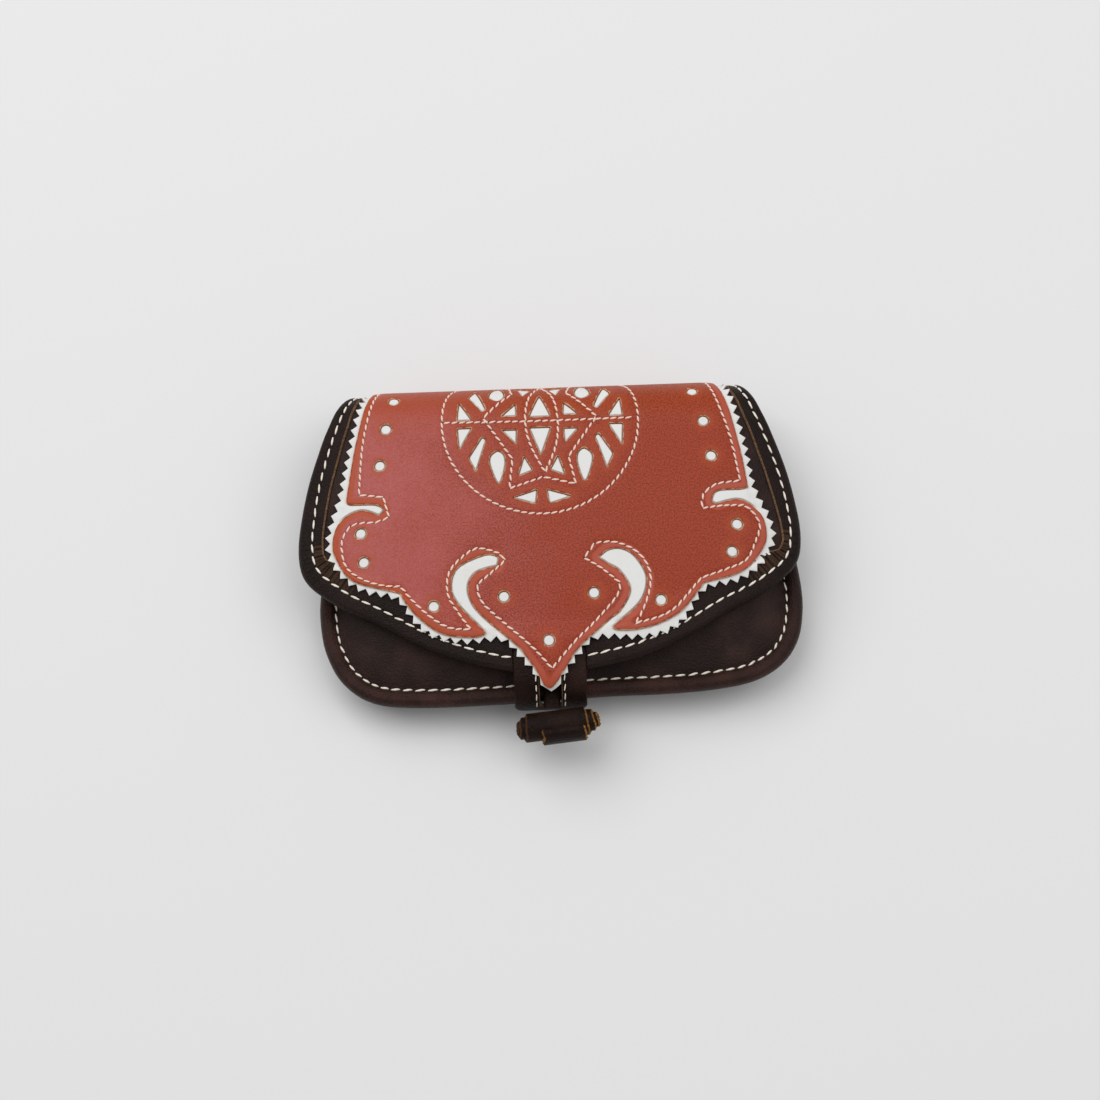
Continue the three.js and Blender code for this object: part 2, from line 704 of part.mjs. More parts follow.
add("back_panel", backPanel(), darkHide);
add("front_panel", frontPanel(), darkHide);
add("body_binding", bodyBinding(), darkBinding);
add("back_binding_left", backBinding(-1), darkBinding);
add("back_binding_right", backBinding(1), darkBinding);
add("underlay_turnover", underlaySheet(underlay.back), whiteHide);
add("applique_turnover", appliqueSheet(applique.back), redHide);
add("flap_base", flapHide(), darkHide);
add("flap_binding_left", flapBinding(-1), darkBinding);
add("flap_binding_right", flapBinding(1), darkBinding);
add("flap_underlay", underlaySheet(underlay.front), whiteHide);
add("flap_applique", appliqueSheet(applique.front), redHide);
add("closure_tongue", bentSheet(tonguePattern(), tongueLow, tongueHigh, layerCuts, sheetPoint), darkHide);

const shank = new THREE.BoxGeometry(shankWidth, shankFar - shankNear, shankThickness);
add("toggle_shank", shank, darkHide)
  .position.set(shankX, foldY - (shankFar + shankNear) / 2, shankLow + shankThickness / 2);

const roll = add("toggle_roll", toggleRoll(), darkHide);
roll.position.set(toggleX, foldY - toggleReach, bendCentreZ + toggleRise);
roll.rotation.z = toggleTilt;

export default bag;
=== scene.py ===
"""Leather flap pouch: its leathers, bindings, thread and toggle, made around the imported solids."""

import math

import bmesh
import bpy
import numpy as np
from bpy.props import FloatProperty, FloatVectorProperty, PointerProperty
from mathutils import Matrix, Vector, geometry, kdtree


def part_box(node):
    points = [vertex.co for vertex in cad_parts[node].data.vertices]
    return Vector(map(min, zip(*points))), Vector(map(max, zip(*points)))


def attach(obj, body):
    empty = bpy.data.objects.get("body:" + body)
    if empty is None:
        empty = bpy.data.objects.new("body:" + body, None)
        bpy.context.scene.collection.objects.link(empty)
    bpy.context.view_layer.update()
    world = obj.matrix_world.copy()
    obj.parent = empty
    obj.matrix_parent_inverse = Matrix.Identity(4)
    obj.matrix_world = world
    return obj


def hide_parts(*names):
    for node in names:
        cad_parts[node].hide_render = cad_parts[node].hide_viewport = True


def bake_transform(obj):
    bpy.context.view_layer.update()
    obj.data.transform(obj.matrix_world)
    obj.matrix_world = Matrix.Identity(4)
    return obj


bl_info = {
    "name": "Leather Flap Pouch",
    "version": (1, 0, 0),
    "blender": (4, 5, 0),
    "location": "View3D > Sidebar > Pouch",
    "description": "Builds a leather flap pouch with cut-work, bound edges, thread and a rolled toggle",
    "category": "Add Mesh",
}

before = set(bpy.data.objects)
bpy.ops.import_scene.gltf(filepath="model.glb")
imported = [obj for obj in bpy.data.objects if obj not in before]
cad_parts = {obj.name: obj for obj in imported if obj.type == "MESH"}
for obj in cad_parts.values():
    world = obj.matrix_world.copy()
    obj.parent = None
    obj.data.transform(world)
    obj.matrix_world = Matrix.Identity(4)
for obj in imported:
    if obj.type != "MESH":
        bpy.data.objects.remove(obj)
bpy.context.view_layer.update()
MM = 0.001

# Flat patterns in millimetres: x across, v along the leather. v is 0 where the fold runs out into the
# flap's front, grows towards the tip and is negative over the fold and down the back.

# Half of the flap's bound edge, from the fold to the tongue
FLAP_SIDE = [
    (94.8, -7), (99.7, 5.5), (106, 24), (109.3, 40), (110.5, 52), (109.4, 62),
    (105.8, 69), (99.5, 75), (90, 82), (75, 90), (55.5, 100.7), (36, 108),
]

# Middle line of the underlay's teeth below the fold, left side, tip and right side
UNDERLAY_LINE = [
    (-84, -4), (-88, 15), (-91.2, 31), (-95.2, 44), (-96.7, 52), (-95.5, 59), (-90, 68), (-80, 75.4),
    (-66.2, 79.4), (-59.5, 88.5), (-52, 95.5), (-38, 99), (-21.7, 98.5), (-14.6, 105.6), (-9, 112),
    (-5.4, 117), (-3.2, 119.3), (0.6, 119.3), (2.6, 116.4), (6.2, 111.4), (10.9, 105.8), (18.4, 99),
    (36, 99.4), (47.5, 97.8), (56.5, 92), (65.5, 79.7), (80, 76), (90, 69.5), (96.5, 60), (97.8, 54),
    (95.5, 45.5), (90.5, 34), (87.5, 14), (84, -4),
]

# Where the lines of the decorated layers cross the fold: v, and insets from the hide's edge on the left and
# on the right, each at the turnover's end and at that v
FOLD_V = -24
UNDERLAY_FOLD = ((7, 6.5), (7.5, 6.7))
APPLIQUE_FOLD = ((10.5, 9.5), (11.5, 10.5))
SEAM_FOLD = ((13.7, 12.6), (15.1, 14.5))

# Edge of the red leather as smooth runs that meet at corners
APPLIQUE_RUNS = [
    [(-82, -1), (-85, 13), (-88.3, 34)],
    [(-88.3, 34), (-86.5, 36.2), (-75.5, 37.2), (-71.7, 39.6), (-73.5, 42.2)],
    [
        (-73.5, 42.2), (-80.7, 39.4), (-87.4, 41), (-92.4, 45.5), (-94.4, 53), (-92.8, 60), (-84.8, 71),
        (-64.8, 77.4),
    ],
    [(-64.8, 77.4), (-61.5, 83.2), (-54.8, 90.4), (-46.3, 95.8), (-35, 97.5), (-29.6, 96.8), (-28.3, 95.4)],
    [(-28.3, 95.4), (-39.2, 83.7), (-42.8, 75.7), (-39.9, 67.1), (-28.6, 61.8), (-22.5, 62.7), (-22.9, 66.6)],
    [
        (-22.9, 66.6), (-28.6, 67.8), (-32.9, 69.8), (-35.6, 74.5), (-34.9, 80.7), (-30.3, 87.8),
        (-14.1, 102.9),
    ],
    [
        (-14.1, 102.9), (-7.8, 112), (-4.5, 117.3), (-2, 118.5), (0.2, 117.4), (4.3, 112.8), (10.1, 104.4),
        (17.6, 97.6),
    ],
    [(17.6, 97.6), (24.7, 91.4), (29.5, 87.7), (33.9, 79), (29.8, 70.7), (24.8, 67.3), (21, 64.4)],
    [(21, 64.4), (25.1, 61.2), (30.9, 60.8), (36.7, 64.7), (41.1, 73.9), (37.8, 84.3), (25.9, 94.6)],
    [(25.9, 94.6), (26.6, 96.2), (35.1, 96.5), (45.4, 94.3), (54.2, 89.9), (59.1, 85.3), (65.6, 77.3)],
    [(65.6, 77.3), (82.3, 72.5), (92.8, 61), (94.4, 52), (91.7, 45.3), (83.6, 40), (72.9, 42.2)],
    [(72.9, 42.2), (71.1, 40.8), (73.7, 36.3), (84, 35.2), (87.6, 34.1)],
    [(87.6, 34.1), (85.9, 20), (82.3, 1)],
]

# Middles of the punched holes
HOLES = [
    (-67.4, -12), (-70.5, 2.5), (-73.2, 19.5), (-81.6, 50), (-80.3, 63), (-50.4, 83.6), (-20.3, 80.3),
    (-1.7, 100), (66, -12), (69.7, 3.5), (72.1, 20), (81.5, 51.5), (78.5, 63.7), (46.8, 84), (18.3, 80),
]

# Windows of the medallion's lower right quarter, from its centre
CORNER_WINDOWS = [
    [(30.3, 3), (36.6, 3), (35.8, 13.2)],
    [(24, 8.8), (25.8, 7.4), (31.7, 17), (28.6, 23.4)],
    [(16.9, 4.4), (10.4, 4.4), (10.8, 11.2)],
    [(7.5, 17.2), (3.9, 23.5), (10.2, 26)],
    [(2.3, 32.6), (12.9, 36), (3.2, 39)],
]
DROP_WINDOW = [(19, 14.1), (22.2, 16.7), (22.2, 21.4), (18.8, 29.2), (15.9, 21), (16.4, 16), (19, 14.1)]
LENS_WINDOW = [(-4.7, 3.7), (4.7, 3.7), (0, 16.8)]
UPPER_WINDOW_SCALE = 0.85

# Sewn lines of the red leather as runs that meet at corners
APPLIQUE_SEAMS = [
    [(-77.6, -7.5), (-80.3, 5.5), (-81.6, 16.8), (-82.4, 32.3)],
    [(-82.4, 32.3), (-71.6, 34.2)],
    [(-71.6, 34.2), (-69.2, 43.4)],
    [(-69.2, 43.4), (-74.5, 45.4), (-82.1, 45.2), (-86.1, 46.1)],
    [(-86.1, 46.1), (-89.2, 50), (-90.1, 55.1), (-88.3, 63.8), (-81.3, 70.2), (-73, 73.5), (-64.4, 74.4)],
    [(-64.4, 74.4), (-60.6, 79.3), (-55.1, 85.2), (-49.2, 90.1), (-43.3, 93.3), (-34.8, 94.1)],
    [(-34.8, 94.1), (-43, 81.7), (-44.6, 75.1), (-42.7, 67.3), (-34, 59.6), (-28.8, 58.9), (-21.5, 61.4)],
    [(-21.5, 61.4), (-19.4, 64.6)],
    [(-19.4, 64.6), (-23.4, 68), (-31.3, 74.3)],
    [(-31.3, 74.3), (-31.4, 78.2), (-28.5, 83.9), (-18.1, 93.8), (-7.8, 103.6), (-0.8, 111.9)],
    [(-0.8, 111.9), (9.4, 100.7), (17.3, 93.3), (28.1, 81.6), (29.6, 76)],
    [(29.6, 76), (21.7, 69.1), (14.6, 64.5)],
    [(14.6, 64.5), (19.6, 58)],
    [(19.6, 58), (28.2, 57.9), (37.1, 62.2), (42.3, 69.9), (42.4, 78.2), (38.9, 88), (35.2, 93.9)],
    [(35.2, 93.9), (46, 91.3), (52.1, 88.1), (56.6, 83.9), (61.7, 78), (64.8, 75)],
    [(64.8, 75), (73.6, 72.1), (81.7, 69), (85.8, 65.8), (90, 56.7), (91.7, 51.7), (89, 45.9), (85.2, 42.9)],
    [(85.2, 42.9), (76.8, 43.1), (66.6, 44.4)],
    [(66.6, 44.4), (66.8, 40), (68.4, 36.7), (73.9, 33)],
    [(73.9, 33), (84.2, 31.5)],
    [(84.2, 31.5), (83.3, 25.5), (81.8, 14.9), (79.4, 4), (76.6, -5.1)],
]

# Sewn lines of the medallion, from its centre: star, both sides of the lens, ring and middle line
STAR_SEAM = [
    (-25, -1.6), (-12.6, 18.3), (-14.2, 31.9), (0.6, 26.9), (14.8, 30.6), (12.1, 17.8),
    (25, -0.6), (12, -14), (14.3, -26.2), (0.5, -22.2), (-14.5, -26.4), (-12.4, -14.2), (-25, -1.6),
]
LENS_SEAMS = [
    [(0.3, -21.2), (6, -10.7), (7.9, 1.4), (6.6, 12.8), (1.6, 24.8)],
    [(0.3, -21.2), (-4.9, -10.7), (-6.5, 1.4), (-4.2, 12.8), (1.6, 24.8)],
]
RING_SEAM_RADIUS = 43.4
RING_SEAM_V = 0.3
MIDDLE_SEAM = [(-42.8, 0), (0, 0.6), (40.8, 0.4)]

# Pouch rim from the left end of the mouth round the bottom to the right end, y from the fold's middle
RIM_LINE = [
    (-88, 0), (-93, -22), (-98.7, -48), (-102, -70), (-101.8, -84), (-99, -97.3), (-91.7, -110.5),
    (-79, -119.4), (-60, -122.2), (-25, -122.1), (20, -120.2), (50, -119.8), (72, -118.3), (88, -115),
    (100, -107.8), (107.2, -97.5), (110.2, -85), (110.5, -73), (108.5, -56), (103, -34), (95.5, -14), (88, 0),
]
RIM_STATIONS = 220

# Rings of a pouch panel: inset of its edge, steps from its flange, then scales of the last ring towards its
# middle, and the distance from the rim that a whole scale stands for
EDGE_INSET = 1.4
PANEL_STEPS = [-4.2, -2.4, -1.3, -0.6, 0, 0.7, 1.6, 2.8, 4.2, 6]
PANEL_SCALES = [
    0.985, 0.97, 0.95, 0.93, 0.905, 0.88, 0.85, 0.81, 0.77, 0.72, 0.66, 0.6, 0.52, 0.44, 0.35, 0.25, 0.13,
]
PANEL_SCALE_SPAN = 95

# Reach of the flap's binding and of its sewn line from the edge, by v, on the left and on the right
BINDING_REACH = {
    -1: ([-66, -25, -17, 5, 16, 30, 58, 64, 72, 112], [5, 6, 7.7, 9.9, 10.8, 11.5, 12, 13, 15, 15]),
    1: (
        [-66, -25, -17, 0, 15, 29, 43, 58, 66, 76, 112],
        [5, 6.5, 8.5, 9.3, 10.3, 10.6, 9.9, 8.8, 10, 15, 15],
    ),
}
BINDING_SEAM = {
    -1: ([-66, 0, 40, 70, 112], [3.4, 4.4, 6.4, 7, 5.8]),
    1: ([-66, 0, 45, 70, 90, 112], [3.2, 4, 4.7, 5.2, 6.2, 5.8]),
}

# Where the flap's edges start to hang and where its front is uneven, by v, and the span of a full droop
DROOP_V = (-28, 32)
DROOP_SPAN = 50
RIPPLE_START_V = (2, 25)
RIPPLE_END_V = (88, 106)

# Creases of the flap's binding at its lower corners: where, by v, and the lengths and height of their waves
CREASE_START_V = (44, 56)
CREASE_END_V = (76, 88)
CREASE_LENGTHS = (2.3, 3.7)
CREASE_HEIGHT = 0.3

# Air between leathers that lie together: in the pouch's seam, under and inside a binding, under the layers
# that rise over a binding, and at the ends of the flap's edge
SEAM_AIR = 0.2
BINDING_AIR = 0.05
FOLDED_AIR = 0.2
LAYER_AIR = 0.15
END_AIR = 0.3

# Reach of a binding's inside from its edge, the stretch over which the layers step up onto a binding, how far
# before the tongue they are fully up, and the stretch over which the flap's edge is squared to the tongue
BINDING_INSIDE = 1.35
STEP_INSIDE = 0.3
STEP_OUTSIDE = 2.2
LIFT_AHEAD = 1
SQUARED_RUN = 5

# Wear of the underlay's teeth round the tip, as a share and a radius, and its margin past the red
# leather's end
TIP_WEAR = 0.75
TIP_WEAR_RADIUS = 7
UNDERLAY_MARGIN = 3

# The toggle: its tilt, its turns and the gap between them, and where its wound strip ends. By the share of
# the strip that is wound, half widths as shares of the toggle's length, and how far the strip is set off its
# middle
TOGGLE_TILT = math.radians(5.5)
TOGGLE_TURNS = 3
TOGGLE_GAP = 0.28
TOGGLE_END = math.radians(25)
TOGGLE_HALF_WIDTHS = ([0, 0.4, 0.7, 1], [0.5, 0.48, 0.43, 0.36])
TOGGLE_SHIFTS = ([0, 1], [0.4, -0.5])

# The strip's tail: from and to which angle it lies, how far it stands off the roll and its half width by
# angle
TAIL_DEGREES = (112, 208)
TAIL_LIFT = ([112, 122, 134, 185, 208], [-1.5, 0, 0.5, 0.6, 1.0])
TAIL_HALF_WIDTHS = (9.2, 9.8)
TAIL_SHIFT = 2.2

# Cut edges of that strip: slant, fray, and painted shade at the left end, by the distance from the middle
STRIP_SLANT = 0.8
STRIP_FRAY = 0.55
STRIP_PAINTED_SHADE = 0.95
STRIP_PAINTED_SHADE_X = (-13, -2)

# A stitch: rings and sides of its mesh, depth and twist of its two strands, its height as a share of the
# thread, how far it runs past its needle holes, and the spread of its slant in degrees and of its length
STITCH_RINGS = 9
STITCH_SIDES = 10
STRAND_DEPTH = 0.17
STRAND_TWIST = 2.6
STITCH_HEIGHT = 0.42
STITCH_OVERRUN = 0.15
SLANT_SPREAD = 3.0
LENGTH_SPREAD = 0.05

# How close a mesh's points lie: along the flap's edge, on curves between two drawn points, beside edges and
# sewn lines as shares and gaps, and the angle from which an edge is sharp
EDGE_STEP = 0.5
CURVE_SAMPLES = 24
INSET_SHARE = 0.85
NET_SHARE = 0.35
SEAM_GAP = 0.45
LEAST_GAP = 0.42
SHARP_ANGLE = math.radians(48)
THREAD_SHARP_ANGLE = math.radians(80)

# Lamps and floor in metres: places and widths of the lamps, half width of the floor, and its grain to the
# metre
KEY_PLACE = (-0.95, 0.9, 2.05)
KEY_WIDTH = 2.2
FILL_PLACE = (1.15, 0.15, 2.0)
FILL_WIDTH = 1.8
FLOOR_HALF = 30.0
FLOOR_GRAIN = 900.0


def srgb(*channels):
    """Linear colour of a shade whose channels run from 0 to 255."""
    return tuple(((c / 255 + 0.055) / 1.055) ** 2.4 for c in channels)


def length(name, description, default):
    """A length setting, with its default in millimetres."""
    return FloatProperty(name=name, description=description, default=default * MM, unit="LENGTH", precision=5)


def angle(name, description, degrees):
    """An angle setting, with its default in degrees."""
    return FloatProperty(name=name, description=description, default=math.radians(degrees), subtype="ANGLE")


def power(name, description, default):
    """A lamp's power setting, with its default in watts."""
    return FloatProperty(name=name, description=description, default=default, unit="POWER")


def colour(name, description, *channels):
    """A colour setting, with its default as a shade whose channels run from 0 to 255."""
    return FloatVectorProperty(
        name=name, description=description, default=srgb(*channels), size=3, min=0, max=1, subtype="COLOR"
    )


class PouchSizes(bpy.types.PropertyGroup):
    """Sizes of the leathers and of the pouch."""

    hide: length("Hide", "Thickness of the dark hide", 2.2)
    underlay_low: length("Underlay seat", "Height of the underlay's lower face above the hide", 0.2)
    underlay_high: length("Underlay face", "Height of the underlay's upper face above the hide", 1.3)
    underlay_swell: length("Underlay swell", "Rise of the underlay in the red leather's openings", 1.2)
    applique_low: length("Applique seat", "Height of the red leather's lower face above the hide", 1.5)
    applique_high: length("Applique face", "Height of the red leather's upper face above the hide", 3.0)
    binding: length("Binding", "Thickness of the bound edges", 1.2)
    tongue_low: length("Tongue seat", "Height of the tongue's lower face above the hide", 0.2)
    tongue_high: length("Tongue face", "Height of the tongue's upper face above the hide", 2.2)
    fold_radius: length("Fold radius", "Radius of the hide's outer face over the fold", 21)
    front_radius: length("Front radius", "Radius of the flap's gentle curve", 600)
    hinge_half_width: length("Fold half width", "Half of the hide's width at the back of the fold", 87)
    turnover: length("Turnover", "How far the red leather runs down behind the fold", 17)
    droop_start: length("Droop start", "Distance from the middle where the flap starts to hang", 62)
    edge_droop: length("Edge droop", f"How far the flap hangs a further {DROOP_SPAN} mm out", 10)
    flap_tip: length("Flap tip", "Where the flap's hide ends at the tongue", 112.3)
    tooth_pitch: length("Tooth pitch", "Pitch of the pinked edge", 5)
    tooth_depth: length("Tooth depth", "Depth of the pinked teeth", 2.4)
    hole_radius: length("Hole radius", "Radius of the punched holes", 2.6)
    medallion_x: length("Medallion x", "Middle of the medallion across the flap", -2.4)
    medallion_v: length("Medallion v", "Middle of the medallion along the leather", 0.4)
    window_ease: length("Window ease", "Extra opening of the medallion's windows by the knife", 0.3)
    upper_shift: length("Upper window shift", "Offset of the medallion's upper half", 1.5)
    tongue_x: length("Tongue x", "Middle of the tongue", -1.7)
    tongue_width: length("Tongue width", "Width of the closing tongue", 31)
    tongue_start: length("Tongue start", "Where the tongue starts under the tip", 100)
    tongue_end: length("Tongue end", "Where the tongue ends below the toggle", 134.5)
    tongue_corner: length("Tongue corner", "Corner radius of the tongue", 6)
    bend_start: length("Bend start", "Where the tongue turns down over the rim", 113)
    bend_radius: length("Bend radius", "Radius of the tongue's turn", 13)
    slot_width: length("Slot width", "Width of the tongue's slot", 9.4)
    slot_start: length("Slot start", "Upper end of the slot", 107)
    slot_end: length("Slot end", "Lower end of the slot", 130)
    slot_corner: length("Slot corner", "Corner radius of the slot", 3.4)
    lift_run: length("Lift run", "Length over which the layers rise onto the tongue", 9)
    lift_margin: length("Lift margin", "Margin beside the tongue that stays lifted", 3.5)
    rim_height: length("Rim height", "Height of the pouch's rim seam", 15)
    mouth_rim_height: length("Mouth rim height", "Height of the rim seam at the mouth", 3)
    mouth_rim_run: length("Mouth rim run", "Length over which the rim rises from the mouth", 50)
    flange: length("Flange", "Width of the flat seam round the pouch", 7.2)
    front_run: length("Front dome run", "Distance over which the front panel rises", 36)
    back_run: length("Back dome run", "Distance over which the back panel falls", 20)
    flap_clearance: length("Flap clearance", "Air between the front panel and the flap", 0.5)
    toggle_radius: length("Toggle radius", "Radius of the rolled toggle", 6.5)
    toggle_length: length("Toggle length", "Length of the toggle's inner turn", 36)
    toggle_leather: length("Toggle leather", "Thickness of the strip that the toggle is rolled from", 1.2)


class PouchThread(bpy.types.PropertyGroup):
    """Pitch and size of the stitches."""

    border_pitch: length("Border pitch", "Pitch of the stitches in the flap's border", 5.5)
    border_stitch: length("Border stitch", "Length of a stitch in the flap's border", 4.2)
    rim_pitch: length("Rim pitch", "Pitch of the stitches round the pouch", 5.7)
    rim_stitch: length("Rim stitch", "Length of a stitch round the pouch", 4.3)
    red_pitch: length("Applique pitch", "Pitch of the stitches in the red leather", 3.3)
    red_stitch: length("Applique stitch", "Length of a stitch in the red leather", 2.95)
    slot_pitch: length("Slot pitch", "Pitch of the stitches beside the tongue's slot", 4.2)
    slot_stitch: length("Slot stitch", "Length of a stitch beside the tongue's slot", 3.3)
    border_thread: length("Border thread", "Thickness of the thread in the dark leather", 0.85)
    red_thread: length("Applique thread", "Thickness of the thread in the red leather", 0.82)
    slot_thread: length("Slot thread", "Thickness of the thread beside the tongue's slot", 0.5)


class PouchColours(bpy.types.PropertyGroup):
    """Colours of the leathers, the thread and the floor."""

    dark: colour("Dark hide", "Dark brown hide", 37, 24, 21)
    dark_worn: colour("Worn dark hide", "Rubbed places of the dark hide", 62, 43, 38)
    # The strap colours are the dark hide darkened: painted shade that makes the tongue, the toggle and the
    # flap's binding darker than the rest.
    strap: colour("Strap", "Darker leather of the tongue, the toggle and the flap's binding", 22, 12, 7)
    strap_worn: colour("Worn strap", "Rubbed places of the tongue and the toggle", 50, 32, 25)
    rim: colour("Rim", "Rolled rim of the pouch", 42, 23, 18)
    rim_worn: colour("Worn rim", "Rubbed places of the rim", 74, 46, 39)
    # The red on the left holds painted sheen as well as the leather's own tone.
    red: colour("Red leather", "Red leather on the left", 180, 88, 83)
    red_warm: colour("Warm red leather", "Red leather on the right", 168, 58, 23)
    burnish: colour("Burnish", "Burnished band along the red leather's edge", 172, 72, 34)
    # Painted sheen: the burnished band as it looks on the right, where light glances off it.
    band_sheen: colour("Blush", "Paler band along the red leather's edge on the right", 178, 82, 62)
    grain: colour("Red grain", "Dark specks of the red leather's grain", 92, 32, 20)
    burnt: colour("Burnt edge", "Dark places of the red leather's cut edge", 104, 46, 26)
    tan: colour("Cut edge", "Undyed cut edge of the red leather", 206, 164, 130)
    white: colour("White leather", "White underlay", 228, 228, 226)
    cream: colour("Stained white", "White underlay beside a cut edge", 212, 192, 166)
    raw: colour("Raw edge", "Undyed cut edge of the dark leather", 128, 98, 70)
    raw_dark: colour("Dark raw edge", "Stained places of the raw edge", 66, 45, 30)
    gold: colour("Toggle edge", "Undyed edge of the toggle's strip", 186, 130, 58)
    # The dark toggle edge is also the colour of the painted shade on the toggle's left end.
    gold_dark: colour("Dark toggle edge", "Stained places of the toggle's edge", 62, 38, 19)
    flesh: colour("Flesh side", "Rough inner side of the hide", 92, 66, 50)
    thread: colour("Applique thread", "Thread in the red leather", 244, 212, 196)
    pale_thread: colour("Border thread", "Thread in the dark leather", 243, 236, 222)
    floor: colour("Floor", "Plain pale floor", 231, 231, 231)


class PouchStage(bpy.types.PropertyGroup):
    """Camera and light."""

    elevation: angle("Elevation", "Camera height above the horizon", 70)
    roll: angle("Roll", "Turn of the picture", 2)
    view_angle: angle("View angle", "Angle across the picture", 38.9)
    distance: length("Distance", "Distance of the camera from the flap's middle", 680)
    aim_y: length("Aim y", "Place of the aimed point along the pouch, from the fold's middle", -60)
    aim_z: length("Aim z", "Height of the aimed point above the floor", 32)
    drop: FloatProperty(
        name="Drop", description="How far the aimed point lies below the picture's middle", default=0.0055
    )
    key: power("Key light", "Power of the large soft light", 35.0)
    fill: power("Fill light", "Power of the light on the right", 16.0)
    sky: FloatProperty(name="Sky", description="Strength of the even light all round", default=0.36)


def ease(value, low, high):
    """Smooth step from 0 at low to 1 at high."""
    share = np.clip((value - low) / (high - low), 0, 1)
    return share * share * (3 - 2 * share)


def dip(distance, width):
    """Bell that is 1 at no distance and fades over a width."""
    return np.exp(-((distance / width) ** 2))


def rounding(gap, radius, depth):
    """How far a face falls at a gap from its rounded edge."""
    outwards = 1 - np.clip(gap / radius, 0, 1)
    return depth * (1 - np.sqrt(np.clip(1 - outwards**2, 0, 1)))


def around(turn):
    """Points of a circle of radius 1 at some angles."""
    return np.stack([np.cos(turn), np.sin(turn)], axis=1)


def run_along(line):
    """Distance along a line of straight stretches at each of its points."""
    return np.concatenate([[0], np.cumsum(np.linalg.norm(np.diff(line, axis=0), axis=1))])


def resample(line, spacing):
    """Points spaced evenly along a line of straight stretches, both ends kept."""
    line = np.asarray(line, float)
    along = run_along(line)
    steps = max(1, round(along[-1] / spacing))
    at = np.linspace(0, along[-1], steps + 1)
    return np.stack([np.interp(at, along, line[:, k]) for k in range(line.shape[1])], axis=1)


def smooth_line(points, spacing):
    """Points spaced evenly along a smooth curve through some points."""
    p = np.asarray(points, float)
    spans = len(p) - 1
    at = np.linspace(0, spans, spans * CURVE_SAMPLES + 1)
    i = np.minimum(at.astype(int), spans - 1)
    w = (at - i)[:, None]
    p0, p1, p2, p3 = p[np.maximum(i - 1, 0)], p[i], p[i + 1], p[np.minimum(i + 2, spans)]
    t0, t1 = (p2 - p0) / 2, (p3 - p1) / 2
    curve = (2 * p1 - 2 * p2 + t0 + t1) * w**3 + (3 * p2 - 3 * p1 - 2 * t0 - t1) * w**2 + t0 * w + p1
    return resample(curve, spacing)


def left_normals(line):
    """Unit normals to the left of the way a line runs."""
    along = np.gradient(line, axis=0)
    along /= np.linalg.norm(along, axis=1)[:, None]
    return np.stack([-along[:, 1], along[:, 0]], axis=1)


def closed(line):
    """A loop with its first point repeated at its end."""
    return np.concatenate([line, line[:1]])


def inside(points, loops):
    """Which flat points lie inside an outline and outside its holes."""
    x, v = points.T
    hit = np.zeros(len(points), bool)
    for loop in loops:
        for (ax, av), (bx, bv) in zip(loop, np.roll(loop, -1, axis=0)):
            if av != bv:
                hit ^= ((av > v) != (bv > v)) & (x < ax + (v - av) / (bv - av) * (bx - ax))
    return hit


def distance_to(points, lines, spacing=0.25):
    """Distance of each flat point from the nearest of some lines."""
    samples = np.concatenate([resample(line, spacing) for line in lines])
    tree = kdtree.KDTree(len(samples))
    for i, (x, v) in enumerate(samples):
        tree.insert((x, v, 0), i)
    tree.balance()
    return np.array([tree.find((x, v, 0))[2] for x, v in points])


def honeycomb(loops, spacing):
    """Points of an even net over an outline's box."""
    low, high = loops[0].min(axis=0), loops[0].max(axis=0)
    spots = []
    for k, v in enumerate(np.arange(low[1], high[1], spacing * math.sqrt(0.75))):
        shift = (k % 2) * spacing / 2
        spots += [(x + shift, v) for x in np.arange(low[0], high[0], spacing)]
    return np.array(spots)


def pattern_mesh(loops, edge_insets, spacing, seams=(), seam_offsets=(), seam_step=0.7):
    """Triangles over a flat pattern, finer along its edges and its sewn lines.

    The loops' own points come first and stay in order. Returns the points and the triangles.
    """
    lines = [closed(loop) for loop in loops]
    candidates = []
    for line in lines:
        normals = left_normals(line)
        for inset in edge_insets:
            for side in (-inset, inset):
                candidates.append((line + side * normals, inset * INSET_SHARE))
    for seam in seams:
        line = resample(seam, seam_step)
        normals = left_normals(line)
        candidates += [(line + offset * normals, SEAM_GAP) for offset in seam_offsets]
    candidates.append((honeycomb(loops, spacing), max(edge_insets) + NET_SHARE * spacing))
    spots = np.concatenate([spot for spot, _ in candidates])
    least = np.concatenate([np.full(len(spot), gap) for spot, gap in candidates])
    usable = inside(spots, loops)
    usable[usable] = distance_to(spots[usable], lines) > least[usable]
    spots = spots[usable]
    first = np.unique(np.floor(spots / LEAST_GAP).astype(int), axis=0, return_index=True)[1]
    points = np.concatenate([*loops, spots[np.sort(first)]])
    edges, start = [], 0
    for loop in loops:
        count = len(loop)
        edges += [(start + i, start + (i + 1) % count) for i in range(count)]
        start += count
    found = geometry.delaunay_2d_cdt([Vector(p) for p in points], edges, [], 0, 1e-6, True)
    points = np.array(found[0])
    triangles = np.array(found[2])
    return points, triangles[inside(points[triangles].mean(axis=1), loops)]


def flat_field(x, v):
    """The spots of a flat pattern as a field for a material."""
    return np.stack([x, v, 0 * x], axis=-1).reshape(-1, 3)


def grid_faces(rows, columns):
    """Quads over a grid whose points are listed row by row."""
    return [
        (r * columns + c, r * columns + c + 1, (r + 1) * columns + c + 1, (r + 1) * columns + c)
        for r in range(rows - 1)
        for c in range(columns - 1)
    ]


